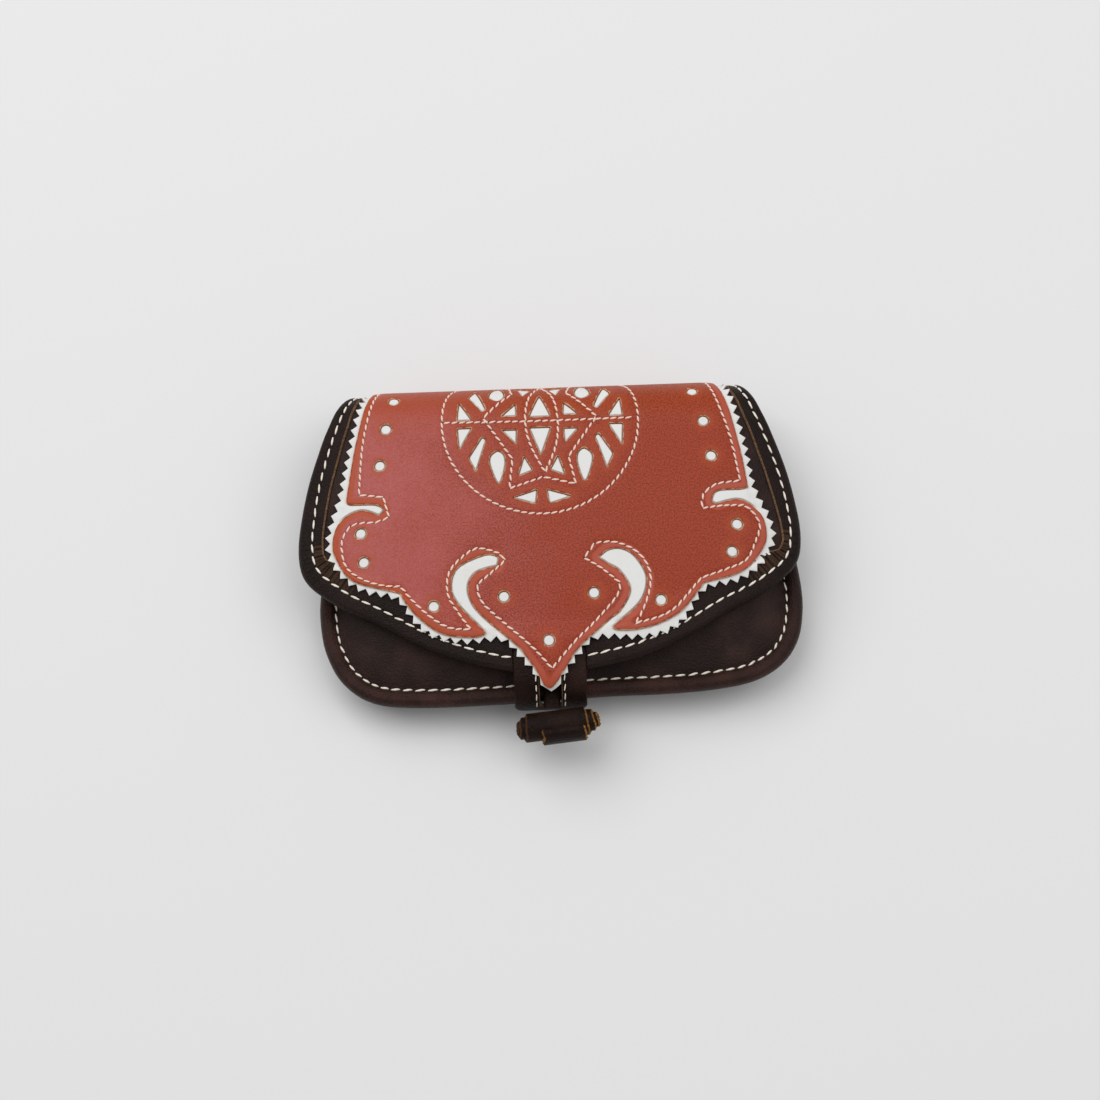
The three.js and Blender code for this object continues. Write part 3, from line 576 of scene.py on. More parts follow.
def make_piece(name, points, faces, materials, face_materials, fields, sharp_angle=SHARP_ANGLE):
    """A mesh object from points in millimetres, with a value per point for each named field."""
    mesh = bpy.data.meshes.new(name)
    mesh.from_pydata(np.asarray(points) * MM, [], [tuple(int(i) for i in face) for face in faces])
    mesh.polygons.foreach_set("material_index", np.asarray(face_materials, np.int32))
    for key, values in fields.items():
        values = np.asarray(values, np.float32)
        kind, slot = ("FLOAT_VECTOR", "vector") if values.ndim == 2 else ("FLOAT", "value")
        mesh.attributes.new(key, kind, "POINT").data.foreach_set(slot, values.ravel())
    work = bmesh.new()
    work.from_mesh(mesh)
    bmesh.ops.recalc_face_normals(work, faces=work.faces)
    work.to_mesh(mesh)
    work.free()
    for material in materials:
        mesh.materials.append(material)
    mesh.shade_smooth()
    mesh.set_sharp_from_angle(angle=sharp_angle)
    piece = bpy.data.objects.new(name, mesh)
    bpy.context.scene.collection.objects.link(piece)
    return piece


def thick_piece(name, faces, top, bottom, materials, fields, upper=0, wall=1, under=0):
    """A sheet closed between its upper and its lower face.

    upper, wall and under number the materials of the upper face, the cut edge and the lower face. upper may
    be a list with one for each face, and wall one for each point.
    """
    count = len(top)
    open_edges = {}
    for face in faces:
        for a, b in zip(face, [*face[1:], face[0]]):
            if open_edges.pop((b, a), None) is None:
                open_edges[(a, b)] = True
    walls = [(b, a, a + count, b + count) for a, b in open_edges]
    lower = [tuple(i + count for i in reversed(face)) for face in faces]
    edge_material = np.broadcast_to(wall, count)
    face_materials = [*np.broadcast_to(upper, len(faces)), *[under] * len(lower)]
    face_materials += [edge_material[a] for a, _ in open_edges]
    doubled = {key: np.concatenate([values, values]) for key, values in fields.items()}
    points = np.concatenate([top, bottom])
    return make_piece(name, points, [*map(tuple, faces), *lower, *walls], materials, face_materials, doubled)


def swept_piece(name, rings, materials, section_materials, fields):
    """A solid swept through rings of points, with a material for each stretch of its section."""
    stations, size = rings.shape[:2]
    faces, face_materials = [], []
    for s in range(stations - 1):
        for k in range(size):
            a, b = s * size + k, s * size + (k + 1) % size
            faces.append((a, b, b + size, a + size))
            face_materials.append(section_materials[k])
    last = (stations - 1) * size
    faces += [tuple(range(size))[::-1], tuple(last + k for k in range(size))]
    face_materials += [section_materials[0]] * 2
    return make_piece(name, rings.reshape(-1, 3), faces, materials, face_materials, fields)


class Bag:
    """The pouch's sizes in millimetres, and where its leathers lie."""

    def __init__(self, scene):
        for group in (scene.pouch_sizes, scene.pouch_thread):
            for key in type(group).__annotations__:
                setattr(self, key, getattr(group, key) / MM)
        self.fold_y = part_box("front_panel")[1].y / MM
        self.hinge_v = -math.pi / 2 * self.fold_radius
        self.back_end_v = -math.pi * self.fold_radius
        self.top_v = self.hinge_v - self.turnover
        self.bend_angle = self.bend_start / self.front_radius
        self.bend_reach = (self.front_radius - self.bend_radius) * math.sin(self.bend_angle)
        self.bend_z = 2 * self.fold_radius - self.front_radius
        self.bend_z += (self.front_radius - self.bend_radius) * math.cos(self.bend_angle)
        self.mouth_half_width = abs(RIM_LINE[0][0])

    def droop(self, x, v):
        """How far the flap's edges hang lower than its middle."""
        beyond = np.maximum(0, np.abs(x) - self.droop_start)
        return self.edge_droop * (beyond / DROOP_SPAN) ** 2 * ease(v, *DROOP_V)

    def fold_sink(self, x, v):
        """How far the hide lies inside the fold's round near the mouth's corners."""
        share = np.clip((self.hinge_v - v) / (self.hinge_v - self.back_end_v), 0, 1)
        return self.back_height(0, self.mouth_half_width - np.abs(x)) * share**2

    def ripple(self, x, v):
        """Slight unevenness of hand-worked leather on the flap's front, as a broad and a slanted wave."""
        along = ease(v, *RIPPLE_START_V) * (1 - ease(v, *RIPPLE_END_V))
        broad = 0.35 * np.sin(x / 21 + 1.3) * np.cos(v / 17 + 0.4)
        slanted = 0.2 * np.sin(x / 11.5 - v / 14)
        return along * (broad + slanted)

    def sheet_point(self, x, v, height):
        """Place in space of a point on the leather, at a height above the hide's outer face."""
        x, v, height = np.broadcast_arrays(*(np.asarray(value, float) for value in (x, v, height)))
        radius = np.where(v < 0, self.fold_radius, self.front_radius)
        reach = radius + height - self.fold_sink(x, v) + self.ripple(x, v)
        y = self.fold_y - reach * np.sin(v / radius)
        z = 2 * self.fold_radius - radius + reach * np.cos(v / radius) - self.droop(x, v)
        turn = self.bend_angle + (v - self.bend_start) / self.bend_radius
        bent = self.bend_radius + height
        past = v > self.bend_start
        y = np.where(past, self.fold_y - self.bend_reach - bent * np.sin(turn), y)
        z = np.where(past, self.bend_z + bent * np.cos(turn), z)
        return np.stack([x, y, z], axis=-1)

    def layer_lift(self, x, v):
        """How far the decorated layers rise over the tongue and over the flap's binding."""
        across = np.abs(x - self.tongue_x) - self.tongue_width / 2 - self.lift_margin
        along = ease(v, self.tongue_start - self.lift_run, self.tongue_start - LIFT_AHEAD)
        over_tongue = self.tongue_high * along * (1 - ease(across, 0, self.lift_run))
        flat = np.stack([np.ravel(x), np.ravel(v)], axis=1)
        over_binding = np.zeros(len(flat))
        for sign in (-1, 1):
            gap = distance_to(flat, [self.flap_edge(sign)], EDGE_STEP)
            reach = np.interp(flat[:, 1], *BINDING_REACH[sign])
            over_binding = np.maximum(over_binding, 1 - ease(gap, reach - STEP_INSIDE, reach + STEP_OUTSIDE))
        return np.maximum(over_tongue, (self.binding + LAYER_AIR) * over_binding.reshape(np.shape(x)))

    def layer_point(self, x, v, height):
        """Place of a point on the decorated layers."""
        return self.sheet_point(x, v, height + self.layer_lift(x, v))

    def flap_edge(self, sign):
        """The bound edge from the mouth over the fold to the tongue, on one side."""
        end = (abs(sign * self.tongue_x + self.tongue_width / 2 + END_AIR), self.flap_tip)
        mouth = [(self.mouth_half_width, self.back_end_v + END_AIR), (self.hinge_half_width, self.hinge_v)]
        line = smooth_line([*mouth, *FLAP_SIDE, end], EDGE_STEP)
        return line * (sign, 1)

    def edge_normals(self, line, sign):
        """Inward normals of that edge, squared to the mouth and, over its last stretch, to the tongue."""
        normals = left_normals(line) * sign
        normals[0] = (-sign, 0)
        blend_in = ease(line[:, 1], self.flap_tip - SQUARED_RUN, self.flap_tip)[:, None]
        normals = normals * (1 - blend_in) + np.array((0, -1)) * blend_in
        return normals / np.linalg.norm(normals, axis=1)[:, None]

    def rim_height_at(self, y):
        """Height of the pouch's seam, y from the fold's middle."""
        share = ease(-y, 0, self.mouth_rim_run)
        return self.mouth_rim_height + (self.rim_height - self.mouth_rim_height) * share

    def rise(self, u, run):
        """Share of a panel's rise at u inwards from the rim."""
        return np.sin(math.pi / 2 * np.clip((u - self.flange) / run, 0, 1))

    def back_height(self, y, u):
        """Height of the back's outer face."""
        return self.rim_height_at(y) * (1 - self.rise(u, self.back_run))

    def front_height(self, y, u):
        """Height of the front panel's inner face."""
        seat = self.rim_height_at(y) + self.hide + SEAM_AIR
        curve = np.sqrt((self.front_radius - self.hide) ** 2 - y**2)
        under = 2 * self.fold_radius - self.front_radius + curve
        return seat + (under - self.flap_clearance - self.hide - seat) * self.rise(u, self.front_run)

    def rim_stations(self):
        """Places round the pouch's rim and the inward normals there."""
        line = smooth_line(RIM_LINE, 1)
        line = resample(line, run_along(line)[-1] / RIM_STATIONS)
        normals = left_normals(line)
        normals[0], normals[-1] = (1, 0), (-1, 0)
        return line, normals

    def rim_point(self, station, inset, height):
        """Place at an inset from the rim and a height above its seam, at a station that may be a fraction."""
        line, normals = self.rim_stations()
        steps = np.arange(len(line))
        x, y, nx, ny = (np.interp(station, steps, column) for column in (*line.T, *normals.T))
        inner = y + inset * ny
        return np.stack([x + inset * nx, self.fold_y + inner, self.rim_height_at(inner) + height], axis=-1)

    def panel_spots(self):
        """Flat spots of a pouch panel with their distance from the rim, its faces and its mouth line."""
        line, normals = self.rim_stations()
        insets = [EDGE_INSET, *(self.flange + step for step in PANEL_STEPS)]
        rings = [(inset, 1) for inset in insets] + [(insets[-1], scale) for scale in PANEL_SCALES]
        inset, scale = np.array(rings).T
        x = (line[:, :1] + inset * normals[:, :1]) * scale
        y = (line[:, 1:] + inset * normals[:, 1:]) * scale
        u = np.broadcast_to(inset + (1 - scale) * PANEL_SCALE_SPAN, x.shape)
        spots = np.stack([x, y, u], axis=-1).reshape(-1, 3)
        spots = np.concatenate([spots, [(0, 0, insets[-1] + PANEL_SCALE_SPAN)]])
        size, pole = len(rings), len(spots) - 1
        faces = grid_faces(len(line), size)
        faces += [(i * size + size - 1, pole, (i + 1) * size + size - 1) for i in range(len(line) - 1)]
        last = (len(line) - 1) * size
        mouth = [*range(size), pole, *range(last + size - 1, last - 1, -1)]
        return spots, faces, mouth


def settle(piece, nodes, body=None):
    """Hides the solids that a piece stands for.

    It rides on a body, or has its place baked into its mesh where none is named.
    """
    if nodes:
        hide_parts(*nodes)
    if body:
        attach(piece, body)
    else:
        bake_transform(piece)


class Recipe:
    """Short words for the nodes of one material."""

    def __init__(self, name):
        self.material = bpy.data.materials.new(name)
        self.material.use_nodes = True
        self.tree = self.material.node_tree
        self.shader = self.tree.nodes["Principled BSDF"]

    def put(self, socket, value):
        """Links an output to a socket, or sets the socket's own value."""
        if isinstance(value, bpy.types.NodeSocket):
            self.tree.links.new(value, socket)
        else:
            socket.default_value = value

    def add(self, kind, values, **settings):
        """A node with its settings and inputs."""
        node = self.tree.nodes.new(kind)
        for key, value in settings.items():
            setattr(node, key, value)
        for key, value in values.items():
            self.put(node.inputs[key], value)
        return node

    def field(self, name, output="Fac"):
        """A value that the mesh holds for each point."""
        return self.add("ShaderNodeAttribute", {}, attribute_name=name).outputs[output]

    def noise(self, spot, scale, detail=3, roughness=0.55):
        """Uneven cloud, scaled to the unit of the spots."""
        values = {"Vector": spot, "Scale": scale, "Detail": detail, "Roughness": roughness}
        return self.add("ShaderNodeTexNoise", values).outputs["Fac"]

    def cells(self, spot, scale):
        """Pebbles of a grain, as the distance from each pebble's middle."""
        values = {"Vector": spot, "Scale": scale, "Randomness": 0.9}
        return self.add("ShaderNodeTexVoronoi", values).outputs["Distance"]

    def span(self, value, low, high, to_low, to_high):
        """Smooth change from one value to another as an input runs from low to high."""
        values = {"Value": value, "From Min": low, "From Max": high, "To Min": to_low, "To Max": to_high}
        return self.add("ShaderNodeMapRange", values, interpolation_type="SMOOTHSTEP").outputs["Result"]

    def rising(self, value, low, high, strength=1.0):
        """Share that rises from none at low to a strength at high."""
        return self.span(value, low, high, 0.0, strength)

    def fading(self, value, low, high, strength):
        """Share that fades from a strength at low to none at high."""
        return self.span(value, low, high, strength, 0.0)

    def sum(self, a, b, share):
        """a plus a share of b."""
        return self.add("ShaderNodeMath", {0: b, 1: share, 2: a}, operation="MULTIPLY_ADD").outputs[0]

    def times(self, a, b):
        """a multiplied by b."""
        return self.add("ShaderNodeMath", {0: a, 1: b}, operation="MULTIPLY").outputs[0]

    def mix(self, share, a, b):
        """Colour from a to b by a share."""
        colours = [(*c, 1) if isinstance(c, tuple) else c for c in (a, b)]
        node = self.add("ShaderNodeMix", {0: share, 6: colours[0], 7: colours[1]}, data_type="RGBA")
        return node.outputs[2]

    def dyed(self, tone, coats):
        """A first colour with coats of others, each laid on by its share."""
        for share, coat in coats:
            tone = self.mix(share, tone, coat)
        return tone

    def finish(self, base, roughness, height, depth, strength, **constants):
        """Sets the shader: colour, roughness, a bump of some depth in metres, and constant values."""
        bump = self.add("ShaderNodeBump", {"Height": height, "Distance": depth, "Strength": strength})
        self.put(self.shader.inputs["Base Color"], base)
        self.put(self.shader.inputs["Roughness"], roughness)
        self.put(self.shader.inputs["Normal"], bump.outputs["Normal"])
        for key, value in constants.items():
            self.shader.inputs[key.replace("_", " ")].default_value = value
        return self.material


def shade(scene, key):
    """A colour setting as a plain tuple."""
    return tuple(getattr(scene.pouch_colours, key))


def kept(name, make):
    """A material by name, made on its first use."""
    return bpy.data.materials.get(name) or make(name)


def dark_leather(scene, name="dark_leather", base="dark", worn="dark_worn", gloss=0.42, shine=0.15):
    """Dark hide with a fine pebbled grain, rubbed places and scuffs on its creases."""

    def make(name):
        r = Recipe(name)
        spot = r.field("flat", "Vector")
        cloud = r.noise(spot, scale=0.05, detail=4)
        fine = r.noise(spot, scale=2.6)
        grain = r.cells(spot, scale=1.15)
        scuff = r.rising(r.times(r.field("crease"), fine), 0.25, 0.6, strength=0.95)
        tone = r.dyed(shade(scene, base), [
            (r.rising(cloud, 0.38, 0.72), shade(scene, worn)),
            (r.rising(grain, 0.25, 0.62, strength=0.35), shade(scene, "dark")),
            (scuff, shade(scene, "raw_dark")),
        ])
        rough = r.sum(r.span(cloud, 0.3, 0.7, gloss - 0.05, gloss + 0.07), fine, 0.1)
        height = r.sum(r.times(grain, -0.8), fine, 0.5)
        return r.finish(tone, rough, height, depth=0.00045, strength=0.8, Specular_IOR_Level=shine)

    return kept(name, make)


def rim_leather(scene):
    """Leather of the rolled rim, browner where it is rubbed."""
    return dark_leather(scene, "rim_leather", "rim", "rim_worn", gloss=0.37, shine=0.14)


def binding_leather(scene):
    """Leather of the flap's bound edge, darkened with painted shade to the strap's colour."""
    return dark_leather(scene, "binding_leather", "strap", "dark", gloss=0.42, shine=0.13)


def strap_leather(scene):
    """Leather of the tongue and the toggle, darkened with painted shade."""
    return dark_leather(scene, "strap_leather", "strap", "strap_worn", gloss=0.36, shine=0.08)


def red_leather(scene):
    """Red leather: pinker on the left, from its tone and from painted sheen, and warmer to the right;
    burnished along its edge, with painted sheen on that band to the right; dark at its cuts; painted shade in
    its needle holes.
    """

    def make(name):
        r = Recipe(name)
        spot = r.field("flat", "Vector")
        axes = r.add("ShaderNodeSeparateXYZ", {"Vector": spot}).outputs
        cloud = r.noise(spot, scale=0.035)
        mottle = r.noise(spot, scale=0.4, detail=4)
        fine = r.noise(spot, scale=1.35, roughness=0.65)
        grain = r.cells(spot, scale=1.9)
        edge, cut, needle = r.field("edge"), r.field("cut"), r.field("needle")
        ragged_edge = r.sum(edge, r.span(mottle, 0.35, 0.65, -0.2, 0.25), 1.0)
        ragged_cut = r.sum(cut, r.span(mottle, 0.35, 0.65, -0.25, 0.2), 1.0)
        # Share from left to right. On the left the red is pinker, partly the leather's tone and partly
        # painted sheen; on the right the edge band takes painted sheen.
        to_the_right = r.rising(r.sum(axes["X"], r.span(cloud, 0.3, 0.7, -14, 14), 1.0), -80, 25)
        # The grain's specks show less on the left, under the painted sheen.
        specks = r.times(
            r.rising(fine, 0.38, 0.66, strength=0.75), r.span(to_the_right, 0.0, 0.6, 0.4, 1.0)
        )
        burnish, burnt, tan = (shade(scene, key) for key in ("burnish", "burnt", "tan"))
        base = r.dyed(shade(scene, "red"), [
            (to_the_right, shade(scene, "red_warm")),
            (r.fading(axes["Y"], -16, 12, strength=0.75), burnish),
            (r.rising(mottle, 0.4, 0.75, strength=0.35), burnish),
            (specks, shade(scene, "grain")),
            # The band along the edge: burnished on the left, painted sheen on the right.
            (r.fading(edge, 2.3, 3.6, strength=0.85), r.mix(to_the_right, burnish, shade(scene, "band_sheen"))),
            (r.fading(cut, 0.6, 4.5, strength=0.4), burnish),
            (r.fading(edge, 0.25, 0.8, strength=0.45), burnt),
            (r.fading(cut, 0.3, 0.8, strength=0.25), burnt),
            (r.fading(ragged_edge, 0.05, 0.4, strength=0.8), tan),
            (r.fading(ragged_cut, 0.05, 0.3, strength=0.85), tan),
            # Painted shade in the needle holes.
            (r.fading(needle, 0.2, 0.55, strength=0.75), shade(scene, "dark")),
        ])
        rough = r.sum(r.span(mottle, 0.3, 0.7, 0.36, 0.46), fine, 0.08)
        height = r.sum(r.times(grain, -0.6), fine, 0.6)
        return r.finish(base, rough, height, depth=0.00014, strength=0.5, Specular_IOR_Level=0.26)

    return kept("red_leather", make)


def white_leather(scene):
    """White underlay, a little creamier beside the red leather's cuts."""

    def make(name):
        r = Recipe(name)
        spot = r.field("flat", "Vector")
        cloud = r.noise(spot, scale=0.12, detail=4)
        fine = r.noise(spot, scale=4.0)
        base = r.dyed(shade(scene, "white"), [
            (r.fading(r.sum(r.field("cut"), cloud, 0.8), 0.35, 1.1, strength=0.5), shade(scene, "cream")),
            (r.rising(cloud, 0.45, 0.8, strength=0.12), shade(scene, "cream")),
        ])
        rough = r.span(fine, 0.3, 0.7, 0.72, 0.86)
        return r.finish(base, rough, fine, depth=0.0002, strength=0.4, Specular_IOR_Level=0.3)

    return kept("white_leather", make)


def raw_edge(scene, name="raw_edge", pale="raw", dark_and_shade="raw_dark"):
    """Undyed cut edge with pale fibres over a dark tone, darkened by painted shade where the piece holds a
    field for it.
    """

    def make(name):
        r = Recipe(name)
        fibre = r.noise(r.field("flat", "Vector"), scale=1.6, detail=4, roughness=0.7)
        base = r.dyed(shade(scene, dark_and_shade), [
            (r.rising(fibre, 0.35, 0.68), shade(scene, pale)),
            # Painted shade: the edge darkened by the piece's field for it, which only the toggle's strip
            # holds, at its left end.
            (r.field("stain"), shade(scene, dark_and_shade)),
        ])
        rough = r.span(fibre, 0.3, 0.7, 0.75, 0.95)
        return r.finish(base, rough, fibre, depth=0.0003, strength=0.7, Specular_IOR_Level=0.2)

    return kept(name, make)


def red_edge(scene):
    """Cut edge of the red leather."""
    return raw_edge(scene, "red_edge", "tan", "burnish")


def toggle_edge(scene):
    """Cut edge of the toggle's strip."""
    return raw_edge(scene, "toggle_edge", "gold", "gold_dark")


def flesh_side(scene):
    """Rough inner side of the hide."""

    def make(name):
        r = Recipe(name)
        spot = r.field("flat", "Vector")
        nap = r.noise(spot, scale=1.3, detail=5, roughness=0.7)
        cloud = r.noise(spot, scale=0.07)
        base = r.mix(r.rising(cloud, 0.3, 0.7), shade(scene, "flesh"), shade(scene, "dark_worn"))
        rough = r.span(nap, 0.3, 0.7, 0.85, 0.98)
        return r.finish(base, rough, nap, depth=0.0004, strength=0.6, Sheen_Weight=0.15)

    return kept("flesh_side", make)


def thread_cotton(scene, name, key):
    """Twisted sewing thread."""

    def make(name):
        r = Recipe(name)
        spot = r.field("flat", "Vector")
        fibre = r.noise(spot, scale=5.0)
        cloud = r.noise(spot, scale=0.25)
        base = r.mix(r.rising(cloud, 0.4, 0.8, strength=0.4), shade(scene, key), shade(scene, "cream"))
        rough = r.span(fibre, 0.3, 0.7, 0.65, 0.8)
        return r.finish(base, rough, fibre, depth=0.00012, strength=0.5, Sheen_Weight=0.2)

    return kept(name, make)


def stitch_marks(line, pitch, stitch):
    """Middles, directions and half lengths of the stitches along a line."""
    line = resample(line, 0.2)
    along = run_along(line)
    count = max(1, round(along[-1] / pitch))
    step = along[-1] / count
    half = stitch / pitch * step / 2
    at = (np.arange(count) + 0.5) * step
    start, end = (
        np.stack([np.interp(at + side * half, along, column) for column in line.T], axis=1)
        for side in (-1, 1)
    )
    way = end - start
    reach = np.linalg.norm(way, axis=1)
    return (start + end) / 2, way / reach[:, None], reach / 2


def needle_holes(lines, pitch, stitch, past_end=0.05, half_dot=0.02):
    """Short lines over the needle holes just past the ends of the stitches."""
    holes = []
    for line in lines:
        middle, way, half = stitch_marks(line, pitch, stitch)
        for side in (-1, 1):
            ends = middle + side * (half + past_end)[:, None] * way
            holes += [np.stack([end - half_dot, end + half_dot]) for end in ends]
    return holes


def sewn_thread(name, lines, pitch, stitch, thread, material, place, seat, slant, seed):
    """Stitches of two twisted strands along some lines.

    place lays a point by its x, v and height, seat is the height of the stitches' middle, and slant is their
    mean turn from the line in degrees.
    """
    rng = np.random.default_rng(seed)
    s = np.linspace(-1, 1, STITCH_RINGS)[:, None]
    turn = np.linspace(0, 2 * math.pi, STITCH_SIDES, endpoint=False)[None, :]
    strands = 1 + STRAND_DEPTH * np.cos(2 * (turn - STRAND_TWIST * s))
    swell = np.sqrt(np.maximum(0.02, 1 - np.abs(s) ** 5)) * strands
    across = 0.5 * thread * swell * np.cos(turn)
    lift = STITCH_HEIGHT * thread * swell * np.sin(turn) - 0.5 * thread * np.abs(s) ** 4
    columns, count = STITCH_SIDES + 1, STITCH_RINGS * STITCH_SIDES
    one = [
        tuple(i // columns * STITCH_SIDES + i % columns % STITCH_SIDES for i in face)
        for face in grid_faces(STITCH_RINGS, columns)
    ]
    one += [tuple(range(STITCH_SIDES)), tuple(range(count - STITCH_SIDES, count))]
    faces, points = [], []
    for line in lines:
        middle, way, half = stitch_marks(line, pitch, stitch)
        for (x, v), (dx, dv), reach in zip(middle, way, half):
            lean = math.radians(slant + rng.normal(0, SLANT_SPREAD))
            dx, dv = dx * math.cos(lean) - dv * math.sin(lean), dx * math.sin(lean) + dv * math.cos(lean)
            along = s * (reach * (1 + rng.normal(0, LENGTH_SPREAD)) + STITCH_OVERRUN)
            faces += [tuple(i + len(points) * count for i in face) for face in one]
            spot_x, spot_v = x + along * dx - across * dv, v + along * dv + across * dx
            points.append(np.stack([spot_x, spot_v, lift + 0 * along], axis=-1).reshape(-1, 3))
    flat = np.concatenate(points)
    spots = place(flat[:, 0], flat[:, 1], flat[:, 2] + seat)
    return make_piece(name, spots, faces, [material], [0] * len(faces), {"flat": flat}, THREAD_SHARP_ANGLE)


def over_fold(runs, insets, bag, top):
    """Runs of which the first and the last are led on over the fold to a v behind it."""
    half = bag.hinge_half_width
    (left_end, left), (right_end, right) = insets
    led = [list(run) for run in runs]
    led[0] = [(left_end - half, top), (left - half, FOLD_V), *led[0]]
    led[-1] = [*led[-1], (half - right, FOLD_V), (half - right_end, top)]
    return led


def pinked(line, bag, tip_wear=0.0):
    """Zigzag cut along a line, with its ends left on the line and its teeth worn down round its tip."""
    fine = smooth_line(line, 0.5)
    whole = run_along(fine)[-1]
    teeth = round(whole / bag.tooth_pitch)
    marks = resample(fine, whole / (2 * teeth))
    offset = np.where(np.arange(len(marks)) % 2 == 0, 0.5, -0.5) * bag.tooth_depth
    offset[[0, -1]] = 0
    tip = marks[np.argmax(marks[:, 1])]
    offset *= 1 - tip_wear * dip(np.linalg.norm(marks - tip, axis=1), TIP_WEAR_RADIUS)
    zigzag = marks + offset[:, None] * left_normals(marks)
    return np.concatenate([resample(zigzag[i : i + 2], 1.0)[:-1] for i in range(len(zigzag) - 1)])


def underlay_loop(bag):
    """Outline of the white underlay."""
    line = over_fold([UNDERLAY_LINE], UNDERLAY_FOLD, bag, bag.top_v - UNDERLAY_MARGIN)[0]
    return np.concatenate([pinked(line, bag, TIP_WEAR), pinked([line[-1], line[0]], bag)])


def applique_loops(bag):
    """Outline of the red leather, its punched holes and its medallion's windows."""
    runs = over_fold(APPLIQUE_RUNS, APPLIQUE_FOLD, bag, bag.top_v)
    top = resample([runs[-1][-1], runs[0][0]], 2.0)[:-1]
    runs = [smooth_line(run, 1.1)[:-1] for run in runs]
    round_hole = bag.hole_radius * around(np.linspace(0, 2 * math.pi, 20, endpoint=False))
    holes = [np.array(centre) + round_hole for centre in HOLES]
    return [np.concatenate([*runs, top]), *holes, *medallion_windows(bag)]


def medallion_windows(bag, spacing=0.9):
    """The medallion's windows, with slightly rounded corners and opened a little about their middles."""
    *corners, lens = (
        resample(closed(np.array(loop, float)), spacing)[:-1] for loop in [*CORNER_WINDOWS, LENS_WINDOW]
    )
    lower = [*corners, smooth_line(DROP_WINDOW, spacing)[:-1]]
    both = [*lower, *(loop * (-1, 1) for loop in lower), lens]
    upper = [loop * (1, -UPPER_WINDOW_SCALE) + (0, bag.upper_shift) for loop in both]
    eased = []
    for loop in [*both, *upper]:
        softened = (np.roll(loop, 1, axis=0) + 2 * loop + np.roll(loop, -1, axis=0)) / 4
        middle = softened.mean(axis=0)
        reach = np.linalg.norm(softened - middle, axis=1).mean()
        opened = middle + (softened - middle) * (1 + bag.window_ease / reach)
        eased.append(opened + (bag.medallion_x, bag.medallion_v))
    return eased


def applique_seams(bag):
    """Sewn lines along the red leather's edge."""
    return [smooth_line(run, 0.5) for run in over_fold(APPLIQUE_SEAMS, SEAM_FOLD, bag, bag.top_v)]


def medallion_seams(bag):
    """Sewn lines of the medallion: ring, star, lens and middle line."""
    centre = np.array((bag.medallion_x, bag.medallion_v))
    ring = RING_SEAM_RADIUS * around(np.linspace(0, 2 * math.pi, 181))[:, ::-1] + (0, RING_SEAM_V)
    star = [np.array(STAR_SEAM[i : i + 2], float) for i in range(len(STAR_SEAM) - 1)]
    lens = [smooth_line(side, 0.5) for side in LENS_SEAMS]
    lines = [ring, *star, *lens, smooth_line(MIDDLE_SEAM, 0.5)]
    return [line + centre for line in lines]


class POUCH_OT_stage(bpy.types.Operator):
    """Plain pale floor, soft light and the camera"""

    bl_idname = "pouch.stage"
    bl_label = "Stage"

    def execute(self, context):
        scene, stage, bag = context.scene, context.scene.pouch_stage, Bag(context.scene)
        self.camera(scene, stage, bag)
        self.floor(scene)
        self.light(scene, "key_light", KEY_PLACE, KEY_WIDTH, stage.key)
        self.light(scene, "fill_light", FILL_PLACE, FILL_WIDTH, stage.fill)
        world = bpy.data.worlds.new("even_light")
        world.use_nodes = True
        background = world.node_tree.nodes["Background"]
        background.inputs["Color"].default_value = (1, 1, 1, 1)
        background.inputs["Strength"].default_value = stage.sky
        scene.world = world
        scene.view_settings.view_transform = "Standard"
        return {"FINISHED"}

    def camera(self, scene, stage, bag):
        """Looks down at the flap from the tip's side, turned a little."""
        aim = Vector((0, bag.fold_y * MM + stage.aim_y, stage.aim_z))
        back = Vector((0, -math.cos(stage.elevation), math.sin(stage.elevation)))
        camera = bpy.data.objects.new("camera", bpy.data.cameras.new("camera"))
        turn = back.to_track_quat("Z", "Y").to_matrix().to_4x4() @ Matrix.Rotation(-stage.roll, 4, "Z")
        camera.matrix_world = Matrix.Translation(aim + back * stage.distance) @ turn
        camera.data.angle = stage.view_angle
        camera.data.shift_y = stage.drop
        scene.collection.objects.link(camera)
        scene.camera = camera

    def floor(self, scene):
        """A wide sheet under the pouch."""
        r = Recipe("floor")
        tone = r.noise(r.add("ShaderNodeTexCoord", {}).outputs["Object"], FLOOR_GRAIN, detail=2)
        pale = (*shade(scene, "floor"), 1)
        material = r.finish(pale, 0.9, tone, depth=0.00005, strength=0.1, Specular_IOR_Level=0.1)
        mesh = bpy.data.meshes.new("floor")
        corners = [(x * FLOOR_HALF, y * FLOOR_HALF, 0) for x, y in ((-1, -1), (1, -1), (1, 1), (-1, 1))]
        mesh.from_pydata(corners, [], [(0, 1, 2, 3)])
        mesh.materials.append(material)
        floor = bpy.data.objects.new("floor", mesh)
        scene.collection.objects.link(floor)

    def light(self, scene, name, place, width, energy):
        """A large soft lamp aimed at the pouch."""
        lamp = bpy.data.lights.new(name, "AREA")
        lamp.shape, lamp.size, lamp.energy = "SQUARE", width, energy
        holder = bpy.data.objects.new(name, lamp)
        turn = Vector(place).to_track_quat("Z", "Y").to_matrix().to_4x4()
        holder.matrix_world = Matrix.Translation(place) @ turn
        scene.collection.objects.link(holder)


